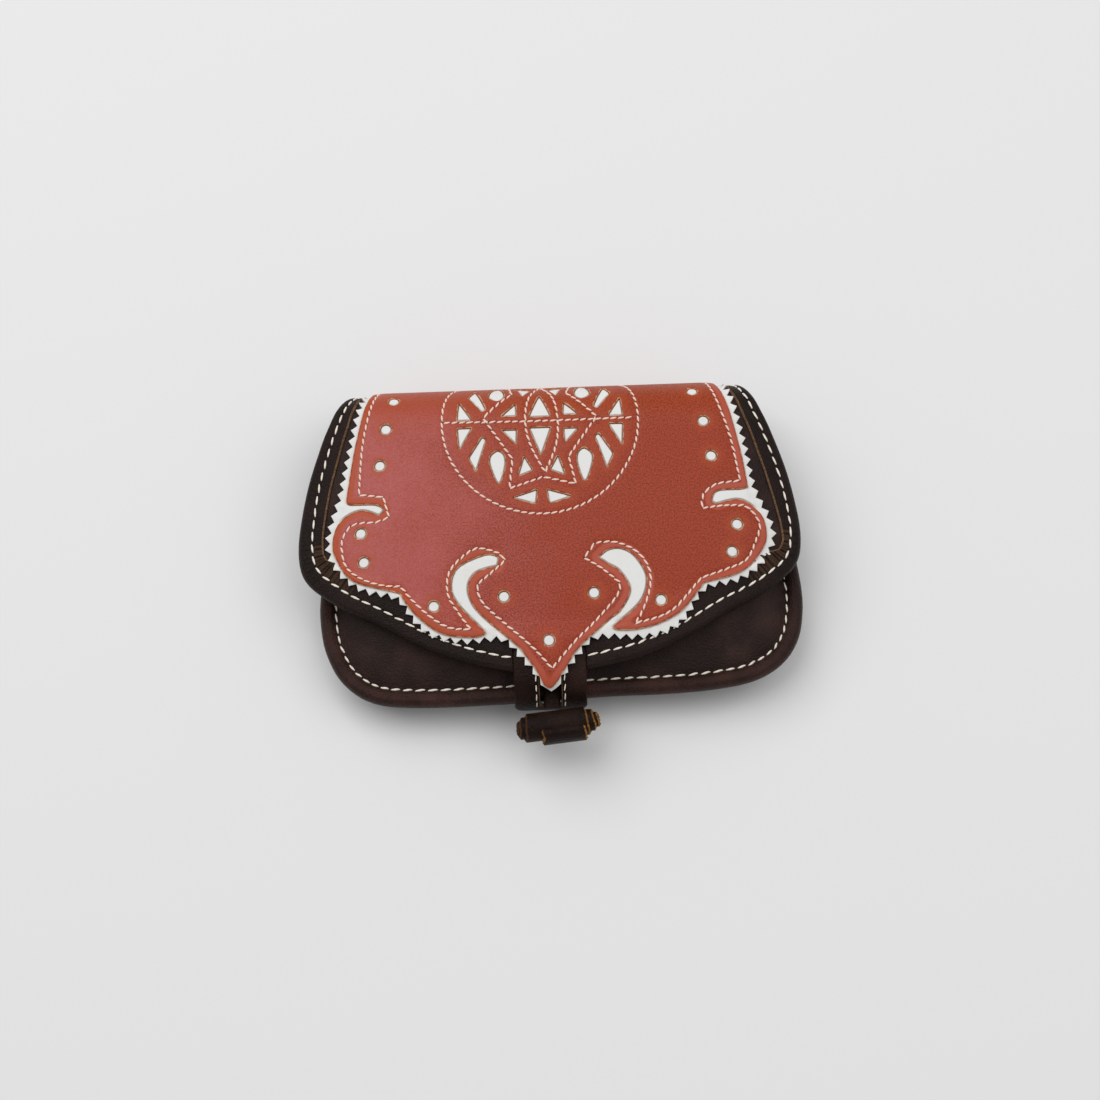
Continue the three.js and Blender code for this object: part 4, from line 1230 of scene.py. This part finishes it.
class POUCH_OT_hide(bpy.types.Operator):
    """Dark hide: the back and the flap in one piece over the fold"""

    bl_idname = "pouch.hide"
    bl_label = "Back and Flap Hide"

    def execute(self, context):
        scene, bag = context.scene, Bag(context.scene)
        spots, faces, mouth = bag.panel_spots()
        x, y, u = spots.T
        z = bag.back_height(y, u)
        outer = np.stack([x, bag.fold_y + y, z], axis=1)
        inner = outer + (0, 0, bag.hide)
        across, along = self.flap_grid(bag, spots[mouth][:, 0] / abs(spots[mouth[0]][0]))
        flap = [bag.sheet_point(across, along, height).reshape(-1, 3) for height in (0, -bag.hide)]
        ids = np.concatenate([[mouth], len(spots) + np.arange(across.size).reshape(across.shape)])
        for above, below in zip(ids[:-1], ids[1:]):
            faces += [(above[k + 1], above[k], below[k], below[k + 1]) for k in range(len(mouth) - 1)]
        flat = np.concatenate([np.stack([x, y, z], axis=1), flat_field(across, along)])
        materials = [dark_leather(scene), raw_edge(scene), flesh_side(scene)]
        top, bottom = np.concatenate([outer, flap[0]]), np.concatenate([inner, flap[1]])
        piece = thick_piece("hide", faces, top, bottom, materials, {"flat": flat}, wall=1, under=2)
        settle(piece, ["back_panel", "flap_base"])
        return {"FINISHED"}

    def flap_grid(self, bag, fractions):
        """x and v of the flap's rows, with points at fractions of the way from the middle to the edges."""
        edges = []
        for sign in (-1, 1):
            line = bag.flap_edge(sign)
            edges.append(line + (bag.binding + FOLDED_AIR) * bag.edge_normals(line, sign))
        rows = edges[0][2:, 1]
        left, right = (np.interp(rows, edge[:, 1], edge[:, 0])[:, None] for edge in edges)
        across = np.where(fractions < 0, -fractions * left, fractions * right)
        return across, np.broadcast_to(rows[:, None], across.shape)


class POUCH_OT_front(bpy.types.Operator):
    """Moulded front panel of the pouch, drawn in along its seam"""

    bl_idname = "pouch.front"
    bl_label = "Front Panel"

    def execute(self, context):
        scene, bag = context.scene, Bag(context.scene)
        spots, faces, _ = bag.panel_spots()
        x, y, u = spots.T
        drawn_depth, drawn_width = 0.55, 1.3
        seam = drawn_depth * dip(u - bag.flange, drawn_width)
        inner = np.stack([x, bag.fold_y + y, bag.front_height(y, u)], axis=1)
        outer = inner + np.stack([0 * x, 0 * x, bag.hide - seam], axis=1)
        materials = [dark_leather(scene), flesh_side(scene)]
        piece = thick_piece("front", faces, outer, inner, materials, {"flat": outer}, wall=0, under=1)
        settle(piece, ["front_panel"], "pouch")
        return {"FINISHED"}


class POUCH_OT_bindings(bpy.types.Operator):
    """Bound edges of the flap and rolled rim of the pouch"""

    bl_idname = "pouch.bindings"
    bl_label = "Bindings"

    def execute(self, context):
        scene, bag = context.scene, Bag(context.scene)
        for sign, side in ((-1, "left"), (1, "right")):
            piece = self.flap_binding(scene, bag, sign, "binding_" + side)
            settle(piece, ["flap_binding_" + side, "back_binding_" + side])
        settle(self.rim(scene, bag), ["body_binding"], "pouch")
        return {"FINISHED"}

    def flap_binding(self, scene, bag, sign, name):
        """Strip folded round the flap's edge, sewn through, with its raw inner edge showing."""
        line = bag.flap_edge(sign)
        normals = bag.edge_normals(line, sign)
        v = line[:, 1]
        reach = np.interp(v, *BINDING_REACH[sign])
        seam = np.interp(v, *BINDING_SEAM[sign])
        creased = ease(v, *CREASE_START_V) * (1 - ease(v, *CREASE_END_V))
        turns = 2 * math.pi * (np.arange(len(line)) * EDGE_STEP)
        short, long = (turns / wave for wave in CREASE_LENGTHS)
        crease = creased * (np.sin(short) + 0.8 * np.sin(long + 1))
        scuffed = np.maximum(0, creased + 0.6 * crease)
        rings, flat, scuffs = [], [], []
        for i in range(len(line)):
            reaches, heights = self.flap_section(bag, reach[i], seam[i], CREASE_HEIGHT * crease[i]).T
            x, along = (line[i] + reaches[:, None] * normals[i]).T
            rings.append(bag.sheet_point(x, along, heights))
            flat.append(np.stack([x, along, heights], axis=1))
            scuffs.append(scuffed[i] * ((reaches > seam[i]) & (heights > 0)))
        size = len(rings[0])
        section_materials = [1 if k in (0, 1, size - 1) else 0 for k in range(size)]
        fields = {"flat": np.concatenate(flat), "crease": np.concatenate(scuffs)}
        materials = [binding_leather(scene), raw_edge(scene)]
        return swept_piece(name, np.array(rings), materials, section_materials, fields)

    def flap_section(self, bag, reach, seam, crease):
        """Section of that strip as reach and height, from its raw upper edge round to its underside."""
        top, under = bag.binding + BINDING_AIR, -bag.hide - BINDING_AIR
        middle, half = -bag.hide / 2, bag.hide / 2 + bag.binding + FOLDED_AIR
        nose_reach, under_reach = 2.2, 4.9
        roll = np.linspace(math.pi / 2, -math.pi / 2, 13)
        inner = np.linspace(reach - 1.1, seam + 1.2, 4)
        outer = np.linspace(seam - 1.2, nose_reach + 0.2, 4)
        nose = [(nose_reach - nose_reach * math.cos(a), middle + half * math.sin(a)) for a in roll]
        upper = [(reach, BINDING_AIR), (reach - 0.05, top - 0.5), (reach - 0.8, top - 0.03)]
        upper += [(r, top + crease * (1 - abs(2 * (r - seam) / (reach - seam) - 1))) for r in inner]
        upper += [(seam + 0.6, top - 0.18), (seam, top - 0.34), (seam - 0.6, top - 0.14)]
        upper += [(r, top + 0.16 + 0.5 * crease) for r in outer]
        lower = [(under_reach - 0.3, middle - half), (under_reach, middle - half + 0.3), (under_reach, under)]
        return np.array([*upper, *nose, *lower, (BINDING_INSIDE, under), (BINDING_INSIDE, BINDING_AIR)])

    def rim(self, scene, bag):
        """Roll round the pouch's seam."""
        low, high, roll_air = 0, 2 * bag.hide + SEAM_AIR, 0.3
        middle, half = (low + high) / 2, (high - low) / 2 + bag.binding + roll_air
        above, below = middle + half, middle - half
        edge, nose_reach, nose_swell = bag.flange - 0.7, 3.1, 0.25
        turn = np.linspace(math.pi / 2, -math.pi / 2, 15)
        section = [(edge, high + 0.1), (edge, high + 0.5), (edge - 0.3, high + 0.85)]
        section += [(edge - 1.2, above - 0.15), (edge - 2.2, above + 0.2), (edge - 3.2, above + 0.2)]
        section += [
            (nose_reach - nose_reach * math.cos(a), middle + (half + nose_swell) * math.sin(a)) for a in turn
        ]
        section += [(edge - 2, below - 0.2), (edge - 0.4, below + 0.1), (edge, below + 0.5)]
        section += [(edge, low - 0.1), (BINDING_INSIDE, low - 0.1), (BINDING_INSIDE, high + 0.1)]
        stations = np.arange(RIM_STATIONS + 1)
        rings = np.stack([bag.rim_point(stations, reach, height) for reach, height in section], axis=1)
        fields = {"flat": rings.reshape(-1, 3)}
        return swept_piece("rim", rings, [rim_leather(scene)], [0] * len(section), fields)


class POUCH_OT_underlay(bpy.types.Operator):
    """White underlay with its pinked edge"""

    bl_idname = "pouch.underlay"
    bl_label = "Underlay"

    def execute(self, context):
        bag = Bag(context.scene)
        loop, red_loops = underlay_loop(bag), applique_loops(bag)
        red_edges = [closed(edge) for edge in red_loops]
        edge_run, edge_fall, swell_run = 0.45, 0.25, 0.7
        flat, faces = pattern_mesh(
            [loop], edge_insets=(edge_run,), spacing=1.7,
            seams=red_edges, seam_offsets=(-swell_run, 0, swell_run),
        )
        x, v = flat.T
        gap = distance_to(flat, [closed(loop)])
        gap[: len(loop)] = 0
        cut = distance_to(flat, red_edges)
        open_part = ~inside(flat, red_loops) * ease(gap, 1.8, 4) * ease(cut, 0, swell_run)
        top = bag.underlay_high - edge_fall * (1 - ease(gap, 0, edge_run)) + bag.underlay_swell * open_part
        lift = bag.layer_lift(x, v)
        piece = thick_piece(
            "underlay", faces,
            bag.sheet_point(x, v, top + lift), bag.sheet_point(x, v, bag.underlay_low + lift),
            [white_leather(context.scene)], {"flat": flat_field(x, v), "cut": cut}, wall=0,
        )
        settle(piece, ["flap_underlay", "underlay_turnover"])
        return {"FINISHED"}


class POUCH_OT_applique(bpy.types.Operator):
    """Red leather with its holes, slots and openwork medallion"""

    bl_idname = "pouch.applique"
    bl_label = "Applique"

    def execute(self, context):
        scene, bag = context.scene, Bag(context.scene)
        loops = applique_loops(bag)
        seams = [*applique_seams(bag), *medallion_seams(bag)]
        flat, faces = pattern_mesh(
            loops, edge_insets=(0.4, 0.9, 1.6, 2.6), spacing=3.0,
            seams=seams, seam_offsets=(-1.3, -0.6, 0, 0.6, 1.3),
        )
        x, v = flat.T
        edge = distance_to(flat, [closed(loops[0])])
        cut = distance_to(flat, [closed(loop) for loop in loops[1:]])
        edge[: len(loops[0])] = 0
        cut[len(loops[0]) : sum(map(len, loops))] = 0
        needle = distance_to(flat, needle_holes(seams, bag.red_pitch, bag.red_stitch), spacing=0.05)
        top = self.face_height(bag, edge, cut, distance_to(flat, seams), needle)
        lift = bag.layer_lift(x, v)
        fields = {"flat": flat_field(x, v), "edge": edge, "cut": cut, "needle": needle}
        piece = thick_piece(
            "applique", faces,
            bag.sheet_point(x, v, top + lift), bag.sheet_point(x, v, bag.applique_low + lift),
            [red_leather(scene), red_edge(scene)], fields, wall=1,
        )
        settle(piece, ["flap_applique", "applique_turnover"])
        return {"FINISHED"}

    def face_height(self, bag, edge, cut, seam, needle):
        """Height of the upper face: rounded edges, drawn in along the sewn lines."""
        rounded = rounding(edge, radius=1.5, depth=0.5)
        nicked = rounding(cut, radius=0.9, depth=0.35)
        drawn = 0.3 * dip(seam, width=0.8) + 0.18 * dip(needle, width=0.45)
        slope = 0.3 * (1 - ease(edge, 1.2, 4.2))
        return bag.applique_high - rounded - nicked - drawn - slope


class POUCH_OT_tongue(bpy.types.Operator):
    """Closing tongue with its slot"""

    bl_idname = "pouch.tongue"
    bl_label = "Closing Tongue"

    def execute(self, context):
        scene, bag = context.scene, Bag(context.scene)
        half, slot_half = bag.tongue_width / 2, bag.slot_width / 2
        outer = self.rounded_bar(bag.tongue_x, half, bag.tongue_start, bag.tongue_end, bag.tongue_corner)
        inner = self.rounded_bar(bag.tongue_x, slot_half, bag.slot_start, bag.slot_end, bag.slot_corner)
        loops = [outer, inner]
        flat, faces = pattern_mesh(loops, edge_insets=(0.4, 0.9), spacing=1.3)
        x, v = flat.T
        gap = distance_to(flat, [closed(loop) for loop in loops])
        gap[: len(outer) + len(inner)] = 0
        top = bag.tongue_high - rounding(gap, radius=0.9, depth=0.45)
        point = np.arange(len(flat))
        at_slot = (point >= len(outer)) & (point < len(outer) + len(inner))
        piece = thick_piece(
            "tongue", faces, bag.sheet_point(x, v, top), bag.sheet_point(x, v, bag.tongue_low),
            [strap_leather(scene), raw_edge(scene)], {"flat": flat_field(x, v)},
            upper=[int(at_slot[face].any()) for face in faces], wall=at_slot.astype(int),
        )
        settle(piece, ["closure_tongue"], "flap")
        return {"FINISHED"}

    def rounded_bar(self, middle, half, start, end, radius):
        """Loop of a bar with round corners."""
        left, right = middle - half + radius, middle + half - radius
        first, last = start + radius, end - radius
        corners = [(right, last), (left, last), (left, first), (right, first)]
        quarter = math.pi / 2
        turn = np.linspace(0, quarter, 9)
        arcs = [np.array(corner) + radius * around(turn + k * quarter) for k, corner in enumerate(corners)]
        return resample(closed(np.concatenate(arcs)), 1.0)[:-1]


class POUCH_OT_toggle(bpy.types.Operator):
    """Toggle rolled from a strip, and its shank"""

    bl_idname = "pouch.toggle"
    bl_label = "Toggle"

    def execute(self, context):
        scene, bag = context.scene, Bag(context.scene)
        settle(self.roll(scene, bag), ["toggle_roll"], "toggle")
        settle(self.tail(scene, bag), [], "toggle")
        settle(self.shank(scene), ["toggle_shank"], "pouch")
        return {"FINISHED"}

    def roll(self, scene, bag):
        """A strip wound up from its wide end, out to its narrow end at the top."""
        wound = np.linspace(0, 1, 150)
        turn = TOGGLE_END + 2 * math.pi * TOGGLE_TURNS * (1 - wound)
        pitch = bag.toggle_leather + TOGGLE_GAP
        radius = bag.toggle_radius - bag.toggle_leather / 2 - pitch * TOGGLE_TURNS * (1 - wound)
        half = np.interp(wound, *TOGGLE_HALF_WIDTHS) * bag.toggle_length
        middle = np.interp(wound, *TOGGLE_SHIFTS)
        return self.strip(scene, bag, "toggle", radius[:, None] * around(turn), half, middle, seed=5)

    def tail(self, scene, bag):
        """The strip's end, drawn through a slit in the roll and lying down its front."""
        degrees = np.linspace(*TAIL_DEGREES, 24)
        radius = bag.toggle_radius + np.interp(degrees, *TAIL_LIFT)
        path = radius[:, None] * around(np.radians(degrees))
        half = np.interp(degrees, TAIL_DEGREES, TAIL_HALF_WIDTHS)
        middle = np.full(len(path), TAIL_SHIFT)
        return self.strip(scene, bag, "toggle_tail", path[::-1], half[::-1], middle, seed=6)

    def strip(self, scene, bag, name, path, half, middle, seed):
        """Leather strip along a path round the toggle, with slanted, frayed raw edges and painted shade at
        its left end.
        """
        low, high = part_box("toggle_roll")
        centre = np.array((low + high) / 2) / MM
        columns = np.linspace(-1, 1, 25)
        rng = np.random.default_rng(seed)
        fray = [np.convolve(rng.normal(0, 1, len(path) + 4), np.ones(5) / 5, "valid") for _ in range(2)]
        ragged = np.where(columns < 0, fray[0][:, None], fray[1][:, None]) * STRIP_FRAY * np.abs(columns) ** 6
        normals = path / np.linalg.norm(path, axis=1)[:, None]
        turn = np.array(Matrix.Rotation(TOGGLE_TILT, 3, "Z"))
        sides = []
        for offset, slant in ((0.5, STRIP_SLANT), (-0.5, 0)):
            spot = path + offset * bag.toggle_leather * normals
            x = (half - slant)[:, None] * columns + ragged + middle[:, None]
            y, z = (np.broadcast_to(spot[:, k : k + 1], x.shape) for k in (0, 1))
            sides.append(np.stack([x, y, z], axis=-1).reshape(-1, 3) @ turn.T + centre)
        flat = flat_field(x, np.broadcast_to(run_along(path)[:, None], x.shape))
        # Painted shade on the cut edges: full at the strip's left end, fading out towards its middle.
        fields = {"flat": flat, "stain": STRIP_PAINTED_SHADE * (1 - ease(flat[:, 0], *STRIP_PAINTED_SHADE_X))}
        faces = grid_faces(len(path), len(columns))
        return thick_piece(name, faces, *sides, [strap_leather(scene), toggle_edge(scene)], fields, wall=1)

    def shank(self, scene):
        """Short strap with round edges from the rim to the toggle."""
        low, high = (np.array(corner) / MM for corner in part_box("toggle_shank"))
        middle, half = (low + high) / 2, (high - low) / 2
        across, up = around(np.linspace(0, 2 * math.pi, 20, endpoint=False)).T
        across = np.sign(across) * np.abs(across) ** 0.5
        section = np.stack([across, 0 * across, up], axis=1) * half
        rings = np.array([section + (0, share * half[1], 0) + middle for share in np.linspace(-1, 1, 12)])
        fields = {"flat": rings.reshape(-1, 3)}
        return swept_piece("shank", rings, [strap_leather(scene)], [0] * len(section), fields)


class POUCH_OT_thread(bpy.types.Operator):
    """Sewing thread of the border, the rim, the red leather and the tongue"""

    bl_idname = "pouch.thread"
    bl_label = "Thread"

    def execute(self, context):
        scene, bag = context.scene, Bag(context.scene)
        pale = thread_cotton(scene, "border_thread", "pale_thread")
        peach = thread_cotton(scene, "applique_thread", "thread")
        border, red = self.border_stitches(bag, pale), self.applique_stitches(bag, peach)
        rim, slot = self.rim_stitches(bag, pale), self.slot_stitches(bag, pale)
        for piece, body in ((border, None), (red, None), (rim, "pouch"), (slot, "flap")):
            settle(piece, [], body)
        return {"FINISHED"}

    def border_stitches(self, bag, material):
        """Stitches through the flap's binding."""
        lines = []
        for sign in (-1, 1):
            line = bag.flap_edge(sign)
            seam = np.interp(line[:, 1], *BINDING_SEAM[sign])
            spots = line + seam[:, None] * bag.edge_normals(line, sign)
            lines.append(spots[spots[:, 1] > bag.top_v])
        return sewn_thread(
            "border_stitches", lines, bag.border_pitch, bag.border_stitch, bag.border_thread, material,
            place=bag.sheet_point, seat=bag.binding, slant=-6.0, seed=11,
        )

    def applique_stitches(self, bag, material):
        """Stitches along the red leather's edge and in its medallion, sunk in a little."""
        lines, sunk = [*applique_seams(bag), *medallion_seams(bag)], 0.18
        return sewn_thread(
            "applique_stitches", lines, bag.red_pitch, bag.red_stitch, bag.red_thread, material,
            place=bag.layer_point, seat=bag.applique_high - sunk, slant=-12.0, seed=12,
        )

    def rim_stitches(self, bag, material):
        """Stitches in the groove between the rim and the front panel."""
        line, _ = bag.rim_stations()
        along = run_along(line)
        steps = np.arange(len(line))

        def place(distance, inset, height):
            station = np.interp(distance, along, steps)
            spot = bag.rim_point(station, bag.flange + inset, 0)
            spot[:, 2] = bag.front_height(spot[:, 1] - bag.fold_y, bag.flange + inset) + bag.hide + height
            return spot

        from_mouth = 12
        row = np.array([(from_mouth, 0), (along[-1] - from_mouth, 0)])
        return sewn_thread(
            "rim_stitches", [row], bag.rim_pitch, bag.rim_stitch, bag.border_thread, material,
            place=place, seat=-0.2, slant=6.0, seed=13,
        )

    def slot_stitches(self, bag, material):
        """Stitches beside the tongue's slot."""
        beside_slot, above_end = 1.4, 1
        reach = bag.slot_width / 2 + beside_slot
        ends = (bag.bend_start, bag.slot_end - above_end)
        lines = [np.array([(bag.tongue_x + side * reach, v) for v in ends]) for side in (-1, 1)]
        return sewn_thread(
            "slot_stitches", lines, bag.slot_pitch, bag.slot_stitch, bag.slot_thread, material,
            place=bag.sheet_point, seat=bag.tongue_high, slant=4.0, seed=14,
        )


OPERATORS = [
    POUCH_OT_stage, POUCH_OT_hide, POUCH_OT_front, POUCH_OT_bindings, POUCH_OT_underlay, POUCH_OT_applique,
    POUCH_OT_tongue, POUCH_OT_toggle, POUCH_OT_thread,
]
SETTINGS = {
    "pouch_sizes": PouchSizes,
    "pouch_thread": PouchThread,
    "pouch_colours": PouchColours,
    "pouch_stage": PouchStage,
}


class POUCH_PT_panel(bpy.types.Panel):
    """Settings and steps of the pouch"""

    bl_idname = "POUCH_PT_panel"
    bl_label = "Leather Flap Pouch"
    bl_space_type = "VIEW_3D"
    bl_region_type = "UI"
    bl_category = "Pouch"

    def draw(self, context):
        for operator in OPERATORS:
            self.layout.operator(operator.bl_idname)
        for name in SETTINGS:
            box = self.layout.box()
            group = getattr(context.scene, name)
            for key in type(group).__annotations__:
                box.prop(group, key)


CLASSES = [*SETTINGS.values(), *OPERATORS, POUCH_PT_panel]


def register():
    """Adds the classes and the scene's settings."""
    for cls in CLASSES:
        bpy.utils.register_class(cls)
    for name, group in SETTINGS.items():
        setattr(bpy.types.Scene, name, PointerProperty(type=group))


def unregister():
    """Takes the settings and the classes away again."""
    for name in SETTINGS:
        delattr(bpy.types.Scene, name)
    for cls in reversed(CLASSES):
        bpy.utils.unregister_class(cls)


def main():
    """Registers the add-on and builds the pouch."""
    register()
    bpy.ops.pouch.stage()
    bpy.ops.pouch.hide()
    bpy.ops.pouch.front()
    bpy.ops.pouch.bindings()
    bpy.ops.pouch.underlay()
    bpy.ops.pouch.applique()
    bpy.ops.pouch.tongue()
    bpy.ops.pouch.toggle()
    bpy.ops.pouch.thread()


if __name__ == "__main__":
    main()
